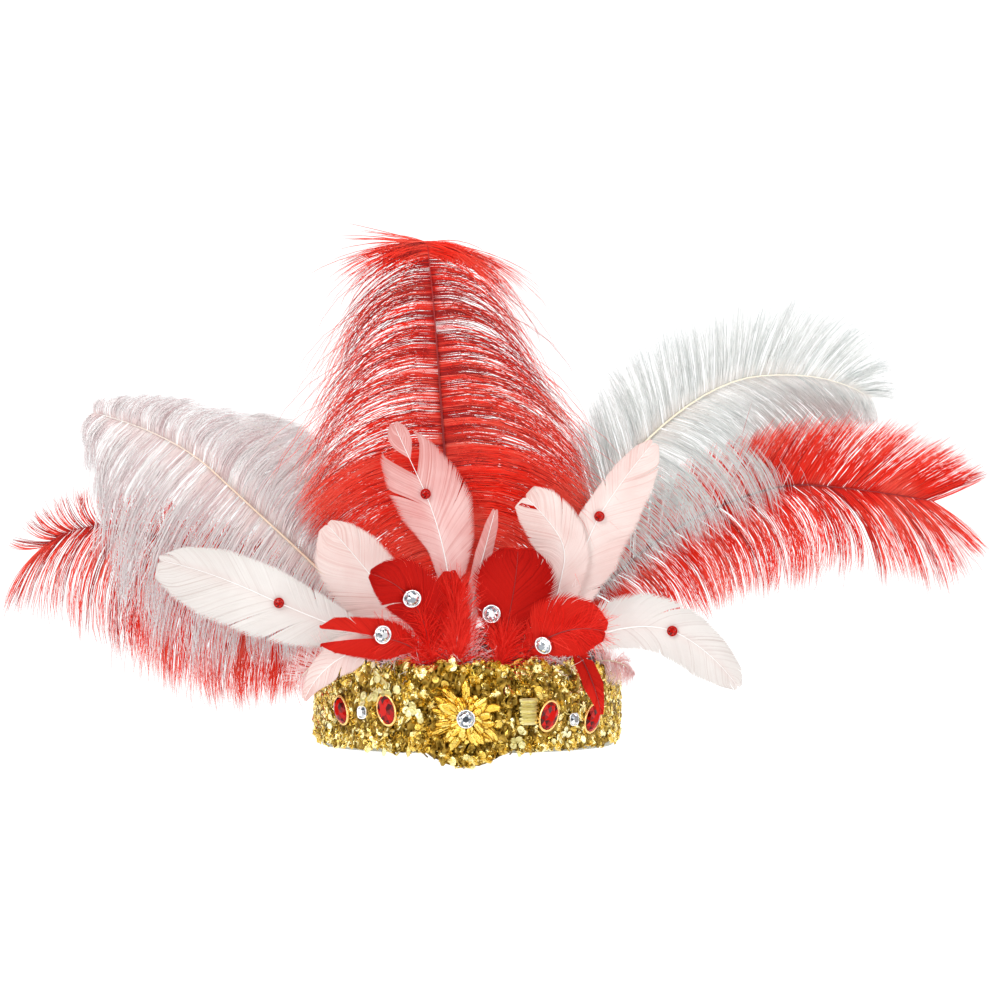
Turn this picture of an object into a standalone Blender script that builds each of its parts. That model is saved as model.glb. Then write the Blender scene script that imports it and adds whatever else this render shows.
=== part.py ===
# Carnival feather headdress: ostrich plumes, goose feathers and down stand in the slot between a
# gold gimp band with stones and a black felt backing, all on a cloth head band.
# Metres, +Z up, the front faces -Y and +X is the viewer's right. The origin is the middle of the
# head opening, level with the lower rim of the head band.

import math
from collections import namedtuple

import bmesh
import bpy
from mathutils import Matrix, Vector
from mathutils.bvhtree import BVHTree

MM = 0.001
GAP = 0.3 * MM

# Head opening, an oval of about 560 mm round
HEAD_WIDTH = 161 * MM
HEAD_DEPTH = 195 * MM
RING_STEP = 6
SHARP_ANGLE = math.radians(40)

# Felt backing: upright inside the head band, then leaning back behind the feathers
BACKING_WALL = 2.0 * MM
BACKING_FOOT = 5 * MM
BACKING_FOLD = 18 * MM
BACKING_FOLD_SHARE = 0.6
BACKING_RISE = 46 * MM
BACKING_LEAN = 22
BACKING_REACH = 100

# Head band: a whole loop of cloth
BAND_WALL = 2.0 * MM
BAND_HEIGHT = 24 * MM
BACKING_TOP = BAND_HEIGHT + BACKING_RISE

# Gold gimp trim over the front and sides of the band
TRIM_RELIEF = 3.6 * MM
TRIM_HEIGHT = 48 * MM
TRIM_FOOT = 1.5 * MM
TRIM_REACH = 115
TRIM_STEP = 2.5
TRIM_SCALLOP = 3.0 * MM
TRIM_SCALLOPS = 21
# Ripple of the trim's face: its mean, its swell between the edges and its waves, as shares of the
# relief, with the turn of the waves from step to step along the trim and up it
TRIM_MEAN = 0.62
TRIM_SWELL = 0.20
TRIM_RIPPLE = 0.16
TRIM_TURN_LONG = 1.9
TRIM_TURN_SHORT = 0.7
TRIM_TURN_UP = 2.3

# Flower in the middle of the trim
FLOWER_RADIUS = 22 * MM
FLOWER_WALL = 2.2 * MM
FLOWER_PETALS = 14
FLOWER_HEIGHT = 19.8 * MM
FLOWER_VALLEY = 0.55
FLOWER_NOTCH = 0.80

# Quills and vanes
PLUME_LENGTH = 318 * MM
PLUME_BARB = 125 * MM
GOOSE_LENGTH = 162 * MM
GOOSE_WIDTH = 26 * MM
PLUME_QUILL = 2.4 * MM
GOOSE_QUILL = 1.5 * MM
PLUME_SEAT = BACKING_WALL + 0.3 * MM
DOWN_SEAT = BACKING_WALL + 0.7 * MM
GOOSE_SEAT = BACKING_WALL + 1.3 * MM
GOOSE_RISE = 12 * MM
RED_GOOSE_RISE = 20 * MM
DOWN_LEFT_RISE = 22 * MM
DOWN_RIGHT_RISE = 16 * MM
# Short locks as a share of the long ones beside them
LOCK_NOTCH = 0.66
# Thickness at the tips and half way out, as shares of the quill's
EDGE_SHARE = 0.36
MIDDLE_SHARE = 0.60
MIDDLE_REACH = 0.45
SHAFT_WALK = 200
BARB_WALK = 8
GOOSE_ROWS = 7

# Stones
OVAL_WIDTH = 11 * MM
OVAL_HEIGHT = 17 * MM
OVAL_DEPTH = 3.6 * MM
SETTING_WALL = 0.8 * MM
SETTING_DEPTH = 2.0 * MM
CENTRE_STONE = 10.5 * MM
SQUARE_STONE = 8.0 * MM
CLEAR_STONE = 10.5 * MM
RED_STONE = 6.0 * MM
STONE_DEPTH = 0.42
STONE_SIDES = 8
OVAL_SIDES = 12
SQUARE_BULGE = 0.08
# Rays that look for the surface under a stone
SEAT_RING = 12
SEAT_REACH = 60 * MM

# A turn of a shaft: share of its length, heading (0 is up, 90 is to +X) and lean back, in degrees
Turn = namedtuple("Turn", "at heading lean")
# Barbs of a plume: share of the shaft, then heading at the quill, heading at the tip and length as
# a share of the plume's longest barb, for the left and the right side
Barb = namedtuple("Barb", "at left_from left_to left right_from right_to right")
# Half widths of a goose vane as shares of the feather's width
Vane = namedtuple("Vane", "at left right")
# Feathers: length, longest barb and half width are shares of the named sizes, the rise is the
# height of the foot above the band, the bow and the cup bend the vane back
Plume = namedtuple("Plume", "name azimuth rise length barb locks bow dye turns barbs")
Goose = namedtuple("Goose", "name azimuth rise length width cup dye turns vanes")
# A stone on a feather: share of the shaft and share of the half width, left negative
FeatherStone = namedtuple("FeatherStone", "name feather at side size clear")
TrimStone = namedtuple("TrimStone", "name azimuth height")
Edge = namedtuple("Edge", "at top foot")
Petal = namedtuple("Petal", "reach thickness notch")
# A loop of a stone or setting: shares of its half width and of its depth, and its twist in sides
Loop = namedtuple("Loop", "radius level twist")

RED_DYE = (0.72, 0.02, 0.02, 1.0)
DEEP_RED_DYE = (0.45, 0.005, 0.008, 1.0)
WHITE_DYE = (0.90, 0.88, 0.87, 1.0)
PINK_DYE = (0.90, 0.78, 0.77, 1.0)

# Top edge of the backing and both edges of the trim, along the reach to one side, as shares of
# their heights
BACKING_EDGE = (
    Edge(0.00, 1.00, 0),
    Edge(0.50, 0.97, 0),
    Edge(0.75, 0.84, 0),
    Edge(0.90, 0.60, 0),
    Edge(1.00, 0.32, 0),
)
TRIM_EDGE = (
    Edge(0.00, 1.06, -0.20),
    Edge(0.06, 1.02, -0.13),
    Edge(0.12, 1.00, -0.02),
    Edge(0.22, 1.02, 0.00),
    Edge(0.45, 0.96, 0.02),
    Edge(0.65, 0.86, 0.05),
    Edge(0.80, 0.74, 0.10),
    Edge(1.00, 0.66, 0.14),
)

# Rings of the flower from its middle out, as shares of its radius and wall; the notch shortens
# the valleys between petals
PETAL_RINGS = (
    Petal(0.16, 1.0, 1.00),
    Petal(0.45, 0.8, 1.00),
    Petal(0.80, 0.9, FLOWER_NOTCH),
    Petal(1.00, 0.45, FLOWER_NOTCH),
)

PLUMES = (
    Plume(
        "plume_centre_red", -1.5, 0, 0.855, 0.896, 15, -0.03, RED_DYE,
        (
            Turn(0.00, 0, 16), Turn(0.17, -3, 16), Turn(0.30, -7, 13), Turn(0.43, -5, 6),
            Turn(0.57, -4, -2), Turn(0.73, -4, -8), Turn(0.87, -5, -16), Turn(1.00, -6, -38),
        ),
        (
            Barb(0.20, -80, -140, 0.10, 80, 140, 0.10), Barb(0.30, -80, -148, 0.40, 78, 146, 0.44),
            Barb(0.38, -80, -150, 0.54, 75, 146, 0.66), Barb(0.49, -82, -147, 0.84, 78, 142, 0.92),
            Barb(0.66, -80, -152, 1.00, 76, 146, 0.98), Barb(0.81, -78, -156, 0.88, 74, 150, 0.86),
            Barb(0.93, -70, -156, 0.80, 70, 152, 0.76), Barb(1.00, -58, -138, 0.46, 62, 140, 0.60),
        ),
    ),
    Plume(
        "plume_left_white", -26, 0, 0.814, 1.000, 13, -0.04, WHITE_DYE,
        (
            Turn(0.00, -2, 17), Turn(0.10, -12, 17), Turn(0.20, -46, 15), Turn(0.37, -46, 12),
            Turn(0.50, -48, 8), Turn(0.70, -47, 4), Turn(0.80, -60, 0), Turn(0.90, -69, -4),
            Turn(1.00, -76, -8),
        ),
        (
            Barb(0.20, -120, -160, 0.08, 20, 50, 0.06), Barb(0.32, -150, -182, 0.36, 12, 58, 0.22),
            Barb(0.45, -145, -186, 0.62, 10, 62, 0.30), Barb(0.55, -140, -184, 0.84, 10, 74, 0.42),
            Barb(0.64, -135, -182, 1.00, 8, 84, 0.46), Barb(0.75, -130, -184, 0.94, 0, 82, 0.40),
            Barb(0.86, -125, -190, 0.74, -15, 72, 0.34), Barb(0.93, -118, -194, 0.50, -28, 54, 0.27),
            Barb(1.00, -110, -196, 0.25, -40, 34, 0.15),
        ),
    ),
    Plume(
        "plume_left_white_rear", -41, 0, 0.638, 0.400, 9, 0.05, WHITE_DYE,
        (
            Turn(0.00, 0, 13), Turn(0.12, -6, 14), Turn(0.30, -13, 20), Turn(0.52, -20, 20),
            Turn(0.62, -34, 18), Turn(0.86, -40, 14), Turn(1.00, -60, 8),
        ),
        (
            Barb(0.34, -110, -140, 0.10, 15, 40, 0.10), Barb(0.44, -105, -140, 0.80, 18, 50, 0.80),
            Barb(0.61, -100, -136, 0.98, 14, 60, 0.90), Barb(0.80, -95, -135, 0.96, 15, 75, 0.80),
            Barb(0.93, -90, -118, 0.80, 10, 75, 0.70), Barb(1.00, -80, -110, 0.55, 0, 50, 0.50),
        ),
    ),
    Plume(
        "plume_left_red", -34, 0, 0.799, 0.688, 14, 0.02, RED_DYE,
        (
            Turn(0.00, -1, 16), Turn(0.09, -8, 17), Turn(0.18, -61, 21), Turn(0.34, -64, 21),
            Turn(0.52, -64, 13), Turn(0.70, -67, 8), Turn(0.85, -88, 4), Turn(1.00, -130, 0),
        ),
        (
            Barb(0.20, -140, -170, 0.12, -10, 10, 0.10), Barb(0.28, -150, -180, 0.52, -20, 20, 0.34),
            Barb(0.43, -145, -190, 0.80, -25, 26, 0.38), Barb(0.61, -140, -188, 1.00, -30, 19, 0.35),
            Barb(0.79, -140, -195, 0.86, -38, 20, 0.29), Barb(0.90, -142, -188, 0.64, -60, -20, 0.22),
            Barb(1.00, -155, -170, 0.36, -110, -84, 0.18),
        ),
    ),
    Plume(
        "plume_right_white", 22, 0, 1.000, 0.728, 15, -0.04, WHITE_DYE,
        (
            Turn(0.00, -2, 17), Turn(0.09, 4, 17), Turn(0.18, 25, 15), Turn(0.34, 30, 11),
            Turn(0.48, 40, 6), Turn(0.58, 47, 3), Turn(0.67, 57, 0), Turn(0.74, 69, -3),
            Turn(0.80, 86, -5), Turn(0.87, 94, -7), Turn(1.00, 122, -10),
        ),
        (
            Barb(0.18, -20, -10, 0.06, 100, 140, 0.06), Barb(0.28, -20, -8, 0.44, 100, 157, 0.42),
            Barb(0.41, -15, -16, 0.52, 100, 154, 0.65), Barb(0.54, -10, -34, 0.48, 100, 168, 0.87),
            Barb(0.63, -5, -21, 0.42, 100, 168, 1.00), Barb(0.72, 5, -8, 0.36, 105, 164, 0.90),
            Barb(0.77, 15, 14, 0.35, 110, 152, 0.82), Barb(0.82, 25, 38, 0.38, 115, 146, 0.67),
            Barb(0.92, 50, 64, 0.26, 128, 160, 0.41), Barb(1.00, 90, 112, 0.14, 145, 180, 0.17),
        ),
    ),
    Plume(
        "plume_right_red", 34, 0, 0.934, 0.560, 15, 0.02, RED_DYE,
        (
            Turn(0.00, -1, 16), Turn(0.09, 6, 17), Turn(0.18, 44, 18), Turn(0.33, 48, 17),
            Turn(0.50, 62, 14), Turn(0.66, 74, 11), Turn(0.77, 95, 8), Turn(0.86, 97, 4),
            Turn(1.00, 101, 0),
        ),
        (
            Barb(0.18, -10, 5, 0.10, 110, 150, 0.10), Barb(0.27, -8, 8, 0.50, 110, 170, 0.58),
            Barb(0.41, 5, 10, 0.62, 115, 172, 0.82), Barb(0.59, 15, 32, 0.76, 120, 186, 0.94),
            Barb(0.74, 25, 34, 0.66, 120, 192, 0.96), Barb(0.80, 35, 39, 0.72, 125, 180, 0.98),
            Barb(0.91, 50, 52, 0.60, 130, 172, 0.94), Barb(1.00, 68, 50, 0.36, 130, 140, 0.48),
        ),
    ),
)

# Two tufts of marabou down at the sides, made as short plumes
DOWNS = (
    Plume(
        "down_left_white", -41, DOWN_LEFT_RISE, 0.189, 0.176, 5, -0.10, PINK_DYE,
        (
            Turn(0.00, 0, 0), Turn(0.13, 0, 0), Turn(0.22, -66, -58), Turn(0.45, -100, -20),
            Turn(1.00, -145, -6),
        ),
        (
            Barb(0.25, -120, -160, 0.30, 0, 30, 0.30), Barb(0.60, -140, -175, 0.90, -30, -10, 0.80),
            Barb(1.00, -170, -180, 0.60, -110, -90, 0.60),
        ),
    ),
    Plume(
        "down_right_white", 62, DOWN_RIGHT_RISE, 0.145, 0.160, 5, -0.10, PINK_DYE,
        (Turn(0.00, 0, 0), Turn(0.20, 0, 0), Turn(0.30, 75, -20), Turn(1.00, 138, -10)),
        (
            Barb(0.30, -30, -10, 0.30, 110, 150, 0.30), Barb(0.60, 0, 20, 0.80, 130, 170, 0.90),
            Barb(1.00, 80, 100, 0.60, 160, 180, 0.60),
        ),
    ),
)

GEESE = (
    Goose(
        "goose_centre_white", -6, GOOSE_RISE, 0.963, 0.846, 3 * MM, WHITE_DYE,
        (
            Turn(0.00, 4, 12), Turn(0.12, 4, 12), Turn(0.26, -4, 8), Turn(0.45, -10, 3),
            Turn(0.62, -18, 0), Turn(0.77, -25, -6), Turn(1.00, -24, -12),
        ),
        (
            Vane(0.25, 0.10, 0.10), Vane(0.38, 0.25, 0.35), Vane(0.52, 0.42, 0.85),
            Vane(0.66, 0.85, 1.12), Vane(0.78, 0.90, 0.98), Vane(0.90, 0.72, 0.66),
            Vane(1.00, 0.12, 0.12),
        ),
    ),
    Goose(
        "goose_left_lower_white", -29, GOOSE_RISE, 1.000, 0.923, 4 * MM, WHITE_DYE,
        (
            Turn(0.00, 0, 8), Turn(0.09, 0, 6), Turn(0.15, -62, -14), Turn(0.34, -69, -12),
            Turn(0.49, -67, -8), Turn(0.62, -65, -8), Turn(0.75, -68, -8), Turn(1.00, -78, -10),
        ),
        (
            Vane(0.18, 0.08, 0.08), Vane(0.30, 0.45, 0.40), Vane(0.45, 0.85, 0.62),
            Vane(0.62, 1.05, 0.75), Vane(0.80, 1.05, 0.68), Vane(0.93, 0.80, 0.45),
            Vane(1.00, 0.45, 0.12),
        ),
    ),
    Goose(
        "goose_left_upper_white", -16.5, GOOSE_RISE, 0.685, 1.000, 3 * MM, WHITE_DYE,
        (
            Turn(0.00, 1, 13), Turn(0.14, -4, 13), Turn(0.29, -33, 9), Turn(0.51, -38, 2),
            Turn(1.00, -42, -2),
        ),
        (
            Vane(0.26, 0.10, 0.10), Vane(0.40, 0.62, 0.40), Vane(0.60, 1.05, 0.66),
            Vane(0.80, 1.00, 0.62), Vane(0.93, 0.70, 0.42), Vane(1.00, 0.25, 0.15),
        ),
    ),
    Goose(
        "goose_right_upper_white", 40, GOOSE_RISE, 0.938, 0.846, 3 * MM, PINK_DYE,
        (
            Turn(0.00, 0, 4), Turn(0.09, 2, 2), Turn(0.24, 11, -6), Turn(0.42, 13, -6),
            Turn(0.59, 24, -4), Turn(0.75, 35, -4), Turn(1.00, 40, -8),
        ),
        (
            Vane(0.20, 0.10, 0.10), Vane(0.35, 0.55, 0.60), Vane(0.50, 0.60, 1.00),
            Vane(0.70, 0.45, 1.00), Vane(0.85, 0.42, 0.80), Vane(0.95, 0.30, 0.52),
            Vane(1.00, 0.12, 0.20),
        ),
    ),
    Goose(
        "goose_right_rear_white", 31, GOOSE_RISE, 0.722, 0.615, 1 * MM, PINK_DYE,
        (
            Turn(0.00, 2, 8), Turn(0.12, 4, 6), Turn(0.36, 15, 0), Turn(0.60, 12, -4),
            Turn(0.76, -34, -4), Turn(1.00, -48, -2),
        ),
        (
            Vane(0.22, 0.12, 0.12), Vane(0.42, 0.70, 0.70), Vane(0.62, 1.00, 0.90),
            Vane(0.82, 1.00, 1.00), Vane(0.94, 0.80, 0.85), Vane(1.00, 0.55, 0.50),
        ),
    ),
    Goose(
        "goose_right_lower_white", 47, GOOSE_RISE, 0.802, 0.731, 5 * MM, WHITE_DYE,
        (
            Turn(0.00, 0, 4), Turn(0.10, 0, 0), Turn(0.19, 50, -24), Turn(0.36, 76, -18),
            Turn(0.52, 92, -12), Turn(0.67, 120, -12), Turn(1.00, 146, -12),
        ),
        (
            Vane(0.16, 0.10, 0.10), Vane(0.30, 0.95, 0.55), Vane(0.48, 1.05, 0.72),
            Vane(0.66, 0.85, 0.85), Vane(0.84, 0.62, 0.78), Vane(0.95, 0.42, 0.45),
            Vane(1.00, 0.15, 0.15),
        ),
    ),
    Goose(
        "goose_centre_sliver_white", 4, GOOSE_RISE, 0.636, 0.192, 1 * MM, WHITE_DYE,
        (
            Turn(0.00, -8, 14), Turn(0.14, -8, 14), Turn(0.36, 2, 9), Turn(0.61, 14, 2),
            Turn(1.00, 15, -4),
        ),
        (
            Vane(0.22, 0.20, 0.20), Vane(0.45, 0.80, 0.80), Vane(0.75, 1.00, 1.00),
            Vane(0.92, 0.70, 0.80), Vane(1.00, 0.30, 0.30),
        ),
    ),
    Goose(
        "goose_left_hanging_white", -25, RED_GOOSE_RISE, 0.568, 0.462, 4 * MM, PINK_DYE,
        (
            Turn(0.00, 0, 0), Turn(0.11, 0, 0), Turn(0.20, -76, -44), Turn(0.42, -98, -22),
            Turn(0.68, -126, -4), Turn(1.00, -158, -2),
        ),
        (
            Vane(0.26, 0.15, 0.15), Vane(0.42, 0.60, 0.80), Vane(0.62, 0.90, 1.00),
            Vane(0.85, 0.90, 0.90), Vane(1.00, 0.30, 0.30),
        ),
    ),
    Goose(
        "goose_red_left_cup", -13, RED_GOOSE_RISE, 0.475, 0.769, -5 * MM, RED_DYE,
        (
            Turn(0.00, -4, 2), Turn(0.12, -6, -2), Turn(0.33, -15, -18), Turn(0.58, -34, -24),
            Turn(0.84, -62, -30), Turn(1.00, -74, -30),
        ),
        (
            Vane(0.20, 0.10, 0.10), Vane(0.40, 0.40, 0.60), Vane(0.60, 0.70, 1.00),
            Vane(0.80, 0.70, 0.90), Vane(0.93, 0.45, 0.50), Vane(1.00, 0.15, 0.15),
        ),
    ),
    Goose(
        "goose_red_left_split", -18.5, RED_GOOSE_RISE, 0.469, 0.500, 3 * MM, RED_DYE,
        (
            Turn(0.00, 0, 0), Turn(0.12, 0, -2), Turn(0.22, -60, -34), Turn(0.49, -77, -30),
            Turn(1.00, -79, -26),
        ),
        (
            Vane(0.18, 0.12, 0.12), Vane(0.38, 0.90, 0.80), Vane(0.55, 1.10, 0.90),
            Vane(0.75, 0.90, 0.75), Vane(0.90, 0.60, 0.60), Vane(1.00, 0.15, 0.15),
        ),
    ),
    Goose(
        "goose_red_right_cup", 12, RED_GOOSE_RISE, 0.451, 0.923, -3 * MM, DEEP_RED_DYE,
        (
            Turn(0.00, 10, 13), Turn(0.12, 12, 13), Turn(0.35, 12, 8), Turn(0.63, 10, -6),
            Turn(1.00, 2, -24),
        ),
        (
            Vane(0.15, 0.10, 0.10), Vane(0.26, 0.46, 0.30), Vane(0.50, 0.86, 0.90),
            Vane(0.75, 1.05, 1.05), Vane(0.92, 0.78, 0.80), Vane(1.00, 0.40, 0.40),
        ),
    ),
    Goose(
        "goose_red_right_fan", 23.5, RED_GOOSE_RISE, 0.420, 0.769, 2 * MM, RED_DYE,
        (
            Turn(0.00, 0, 0), Turn(0.13, 4, -4), Turn(0.24, 50, -52), Turn(0.58, 68, -26),
            Turn(1.00, 106, -20),
        ),
        (
            Vane(0.15, 0.10, 0.10), Vane(0.28, 0.38, 0.34), Vane(0.50, 1.10, 0.66),
            Vane(0.70, 1.10, 0.80), Vane(0.88, 0.80, 0.70), Vane(1.00, 0.30, 0.30),
        ),
    ),
    Goose(
        "goose_red_centre_fluff", -4, RED_GOOSE_RISE, 0.358, 0.654, 2 * MM, DEEP_RED_DYE,
        (Turn(0.00, 4, 8), Turn(0.14, 2, 7), Turn(0.60, -6, 2), Turn(1.00, -8, -2)),
        (
            Vane(0.18, 0.12, 0.12), Vane(0.32, 0.80, 0.50), Vane(0.60, 1.00, 0.50),
            Vane(0.86, 0.75, 0.40), Vane(1.00, 0.25, 0.20),
        ),
    ),
    Goose(
        "goose_red_right_sliver", 43, RED_GOOSE_RISE, 0.370, 0.231, 1 * MM, RED_DYE,
        (
            Turn(0.00, 0, 0), Turn(0.13, 0, 0), Turn(0.25, 100, -46), Turn(0.40, 150, -26),
            Turn(1.00, 162, -2),
        ),
        (
            Vane(0.15, 0.20, 0.20), Vane(0.40, 0.90, 0.90), Vane(0.70, 1.00, 1.00),
            Vane(1.00, 0.25, 0.25),
        ),
    ),
)

FEATHER_STONES = (
    FeatherStone("clear_stone_left", "goose_red_left_cup", 0.62, 0.05, CLEAR_STONE, True),
    FeatherStone("clear_stone_left_low", "goose_red_left_split", 0.52, 0.10, CLEAR_STONE, True),
    FeatherStone("clear_stone_centre", "goose_red_right_cup", 0.45, -0.55, CLEAR_STONE, True),
    FeatherStone("clear_stone_right", "goose_red_right_fan", 0.42, 0.20, CLEAR_STONE, True),
    FeatherStone("red_stone_centre", "goose_centre_white", 0.72, 0.00, RED_STONE, False),
    FeatherStone("red_stone_left", "goose_left_lower_white", 0.56, 0.00, RED_STONE, False),
    FeatherStone("red_stone_right_high", "goose_right_upper_white", 0.66, 0.00, RED_STONE, False),
    FeatherStone("red_stone_right", "goose_right_lower_white", 0.62, 0.00, RED_STONE, False),
)

# A cut stone in its cup, and an oval cabochon
CUT_LOOPS = (
    Loop(0.86, 0.00, 0), Loop(1.00, 0.20, 0), Loop(1.00, 0.45, 0), Loop(0.84, 0.55, 0),
    Loop(0.50, 1.00, 0.5),
)
CABOCHON_LOOPS = (
    Loop(1.00, 0.00, 0), Loop(1.00, 0.40, 0), Loop(0.82, 0.75, 0), Loop(0.42, 1.00, 0),
)

OVAL_STONES = (
    TrimStone("oval_left_inner", -29.7, 24.0 * MM),
    TrimStone("oval_right_inner", 30.9, 20.7 * MM),
    TrimStone("oval_left_outer", -52.2, 22.5 * MM),
    TrimStone("oval_right_outer", 52.6, 17.9 * MM),
)
SQUARE_STONES = (
    TrimStone("square_stone_left", -41.0, 22.0 * MM),
    TrimStone("square_stone_right", 42.5, 18.1 * MM),
)


# Scene and materials

def clear_scene():
    for obj in list(bpy.data.objects):
        bpy.data.objects.remove(obj, do_unlink=True)
    for block in (bpy.data.meshes, bpy.data.materials, bpy.data.collections):
        for item in list(block):
            block.remove(item)


def new_material(name, colour, roughness, metallic=0.0):
    material = bpy.data.materials.new(name)
    material.use_nodes = True
    shader = material.node_tree.nodes["Principled BSDF"]
    shader.inputs["Base Color"].default_value = colour
    shader.inputs["Roughness"].default_value = roughness
    shader.inputs["Metallic"].default_value = metallic
    material.diffuse_color = colour
    return material


def add_object(name, mesh, material):
    mesh.materials.append(material)
    obj = bpy.data.objects.new(name, mesh)
    bpy.data.collections["carnival_feather_headdress"].objects.link(obj)
    return obj


# Tables

def row_value(table, at, column):
    """Value of a column at a share, straight between the rows."""
    if at <= table[0].at:
        return getattr(table[0], column)
    for low, high in zip(table, table[1:]):
        if at <= high.at:
            share = (at - low.at) / (high.at - low.at)
            return getattr(low, column) * (1 - share) + getattr(high, column) * share
    return getattr(table[-1], column)


# Rings around the head

def ring_point(azimuth, offset, height):
    turn = math.radians(azimuth)
    return Vector((
        (HEAD_WIDTH / 2 + offset) * math.sin(turn),
        -(HEAD_DEPTH / 2 + offset) * math.cos(turn),
        height,
    ))


def ring_outward(azimuth, offset):
    turn = math.radians(azimuth)
    across = HEAD_WIDTH / 2 + offset
    along = HEAD_DEPTH / 2 + offset
    return Vector((math.sin(turn) / across, -math.cos(turn) / along, 0)).normalized()


BAND_SEAT = BACKING_WALL + GAP
TRIM_SEAT = BAND_SEAT + BAND_WALL + GAP


# Sheets with a thickness that varies over the surface

def sheet(name, origin, rows, weights, thickness, offset, material):
    """A grid laid over rows of points and thickened, by its weights, with Solidify."""
    columns = len(rows[0])
    form = bmesh.new()
    bmesh.ops.create_grid(form, x_segments=columns - 1, y_segments=len(rows) - 1, size=1)
    form.verts.ensure_lookup_table()
    layer = form.verts.layers.deform.verify()
    for index, vert in enumerate(form.verts):
        row, column = divmod(index, columns)
        vert.co = rows[row][column] - origin
        vert[layer][0] = weights[row][column]
    mesh = bpy.data.meshes.new(name)
    form.to_mesh(mesh)
    form.free()
    mesh.shade_smooth()
    obj = add_object(name, mesh, material)
    obj.location = origin
    obj.vertex_groups.new(name="thickness")
    wall = obj.modifiers.new("wall", "SOLIDIFY")
    wall.thickness = thickness
    wall.offset = offset
    wall.vertex_group = "thickness"
    return obj


def felt_backing(material):
    rows, weights = [], []
    steps = round(2 * BACKING_REACH / RING_STEP)
    for level in ("foot", "fold", "top"):
        row = []
        for step in range(steps + 1):
            azimuth = -BACKING_REACH + step * 2 * BACKING_REACH / steps
            top = BACKING_TOP * row_value(BACKING_EDGE, abs(azimuth) / BACKING_REACH, "top")
            fold = min(BACKING_FOLD, BACKING_FOOT + (top - BACKING_FOOT) * BACKING_FOLD_SHARE)
            height = {"foot": BACKING_FOOT, "fold": fold, "top": top}[level]
            lean = math.radians(BACKING_LEAN) * max(0.0, math.cos(math.radians(azimuth))) ** 1.5
            inward = math.tan(lean) * max(0.0, height - BACKING_FOLD)
            row.append(ring_point(azimuth, BACKING_WALL - inward, height))
        rows.append(row)
        weights.append([1.0] * len(row))
    return sheet("feather_backing", Vector(), rows, weights, BACKING_WALL, -1, material)


def head_band(material):
    steps = round(360 / RING_STEP)
    form = bmesh.new()
    bmesh.ops.create_circle(form, segments=steps, radius=1)
    for index, vert in enumerate(form.verts):
        vert.co = ring_point(index * 360 / steps, BAND_SEAT, 0)
    lifted = bmesh.ops.extrude_edge_only(form, edges=form.edges[:])
    for item in lifted["geom"]:
        if isinstance(item, bmesh.types.BMVert):
            item.co.z += BAND_HEIGHT
    bmesh.ops.recalc_face_normals(form, faces=form.faces[:])
    mesh = bpy.data.meshes.new("head_band")
    form.to_mesh(mesh)
    form.free()
    mesh.shade_smooth()
    mesh.set_sharp_from_angle(angle=SHARP_ANGLE)
    obj = add_object("head_band", mesh, material)
    wall = obj.modifiers.new("wall", "SOLIDIFY")
    wall.thickness = BAND_WALL
    wall.offset = 1
    wall.use_even_offset = True
    return obj


# Gold trim

def trim_edges(azimuth):
    """Lower and upper edge of the trim at an azimuth, with its scallops."""
    share = abs(azimuth) / TRIM_REACH
    wave = abs(math.sin(math.radians(azimuth) * TRIM_SCALLOPS / 2)) - 0.5
    top = TRIM_HEIGHT * row_value(TRIM_EDGE, share, "top") + TRIM_SCALLOP * wave
    foot = TRIM_FOOT + TRIM_HEIGHT * row_value(TRIM_EDGE, share, "foot") - TRIM_SCALLOP * wave / 2
    return foot, top


def gold_trim(material):
    shares = (0.0, 0.2, 0.5, 0.8, 1.0)
    steps = round(2 * TRIM_REACH / TRIM_STEP)
    rows, weights = [], []
    for level, share in enumerate(shares):
        row, line = [], []
        for step in range(steps + 1):
            azimuth = -TRIM_REACH + step * 2 * TRIM_REACH / steps
            foot, top = trim_edges(azimuth)
            row.append(ring_point(azimuth, TRIM_SEAT, foot + (top - foot) * share))
            long_wave = math.sin(step * TRIM_TURN_LONG + level * TRIM_TURN_UP)
            ripple = long_wave * math.cos(step * TRIM_TURN_SHORT - level)
            swell = math.sin(math.pi * share) ** 0.5
            line.append(TRIM_MEAN + TRIM_SWELL * swell + TRIM_RIPPLE * ripple)
        rows.append(row)
        weights.append(line)
    return sheet("gold_trim", Vector(), rows, weights, TRIM_RELIEF, 1, material)


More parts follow.
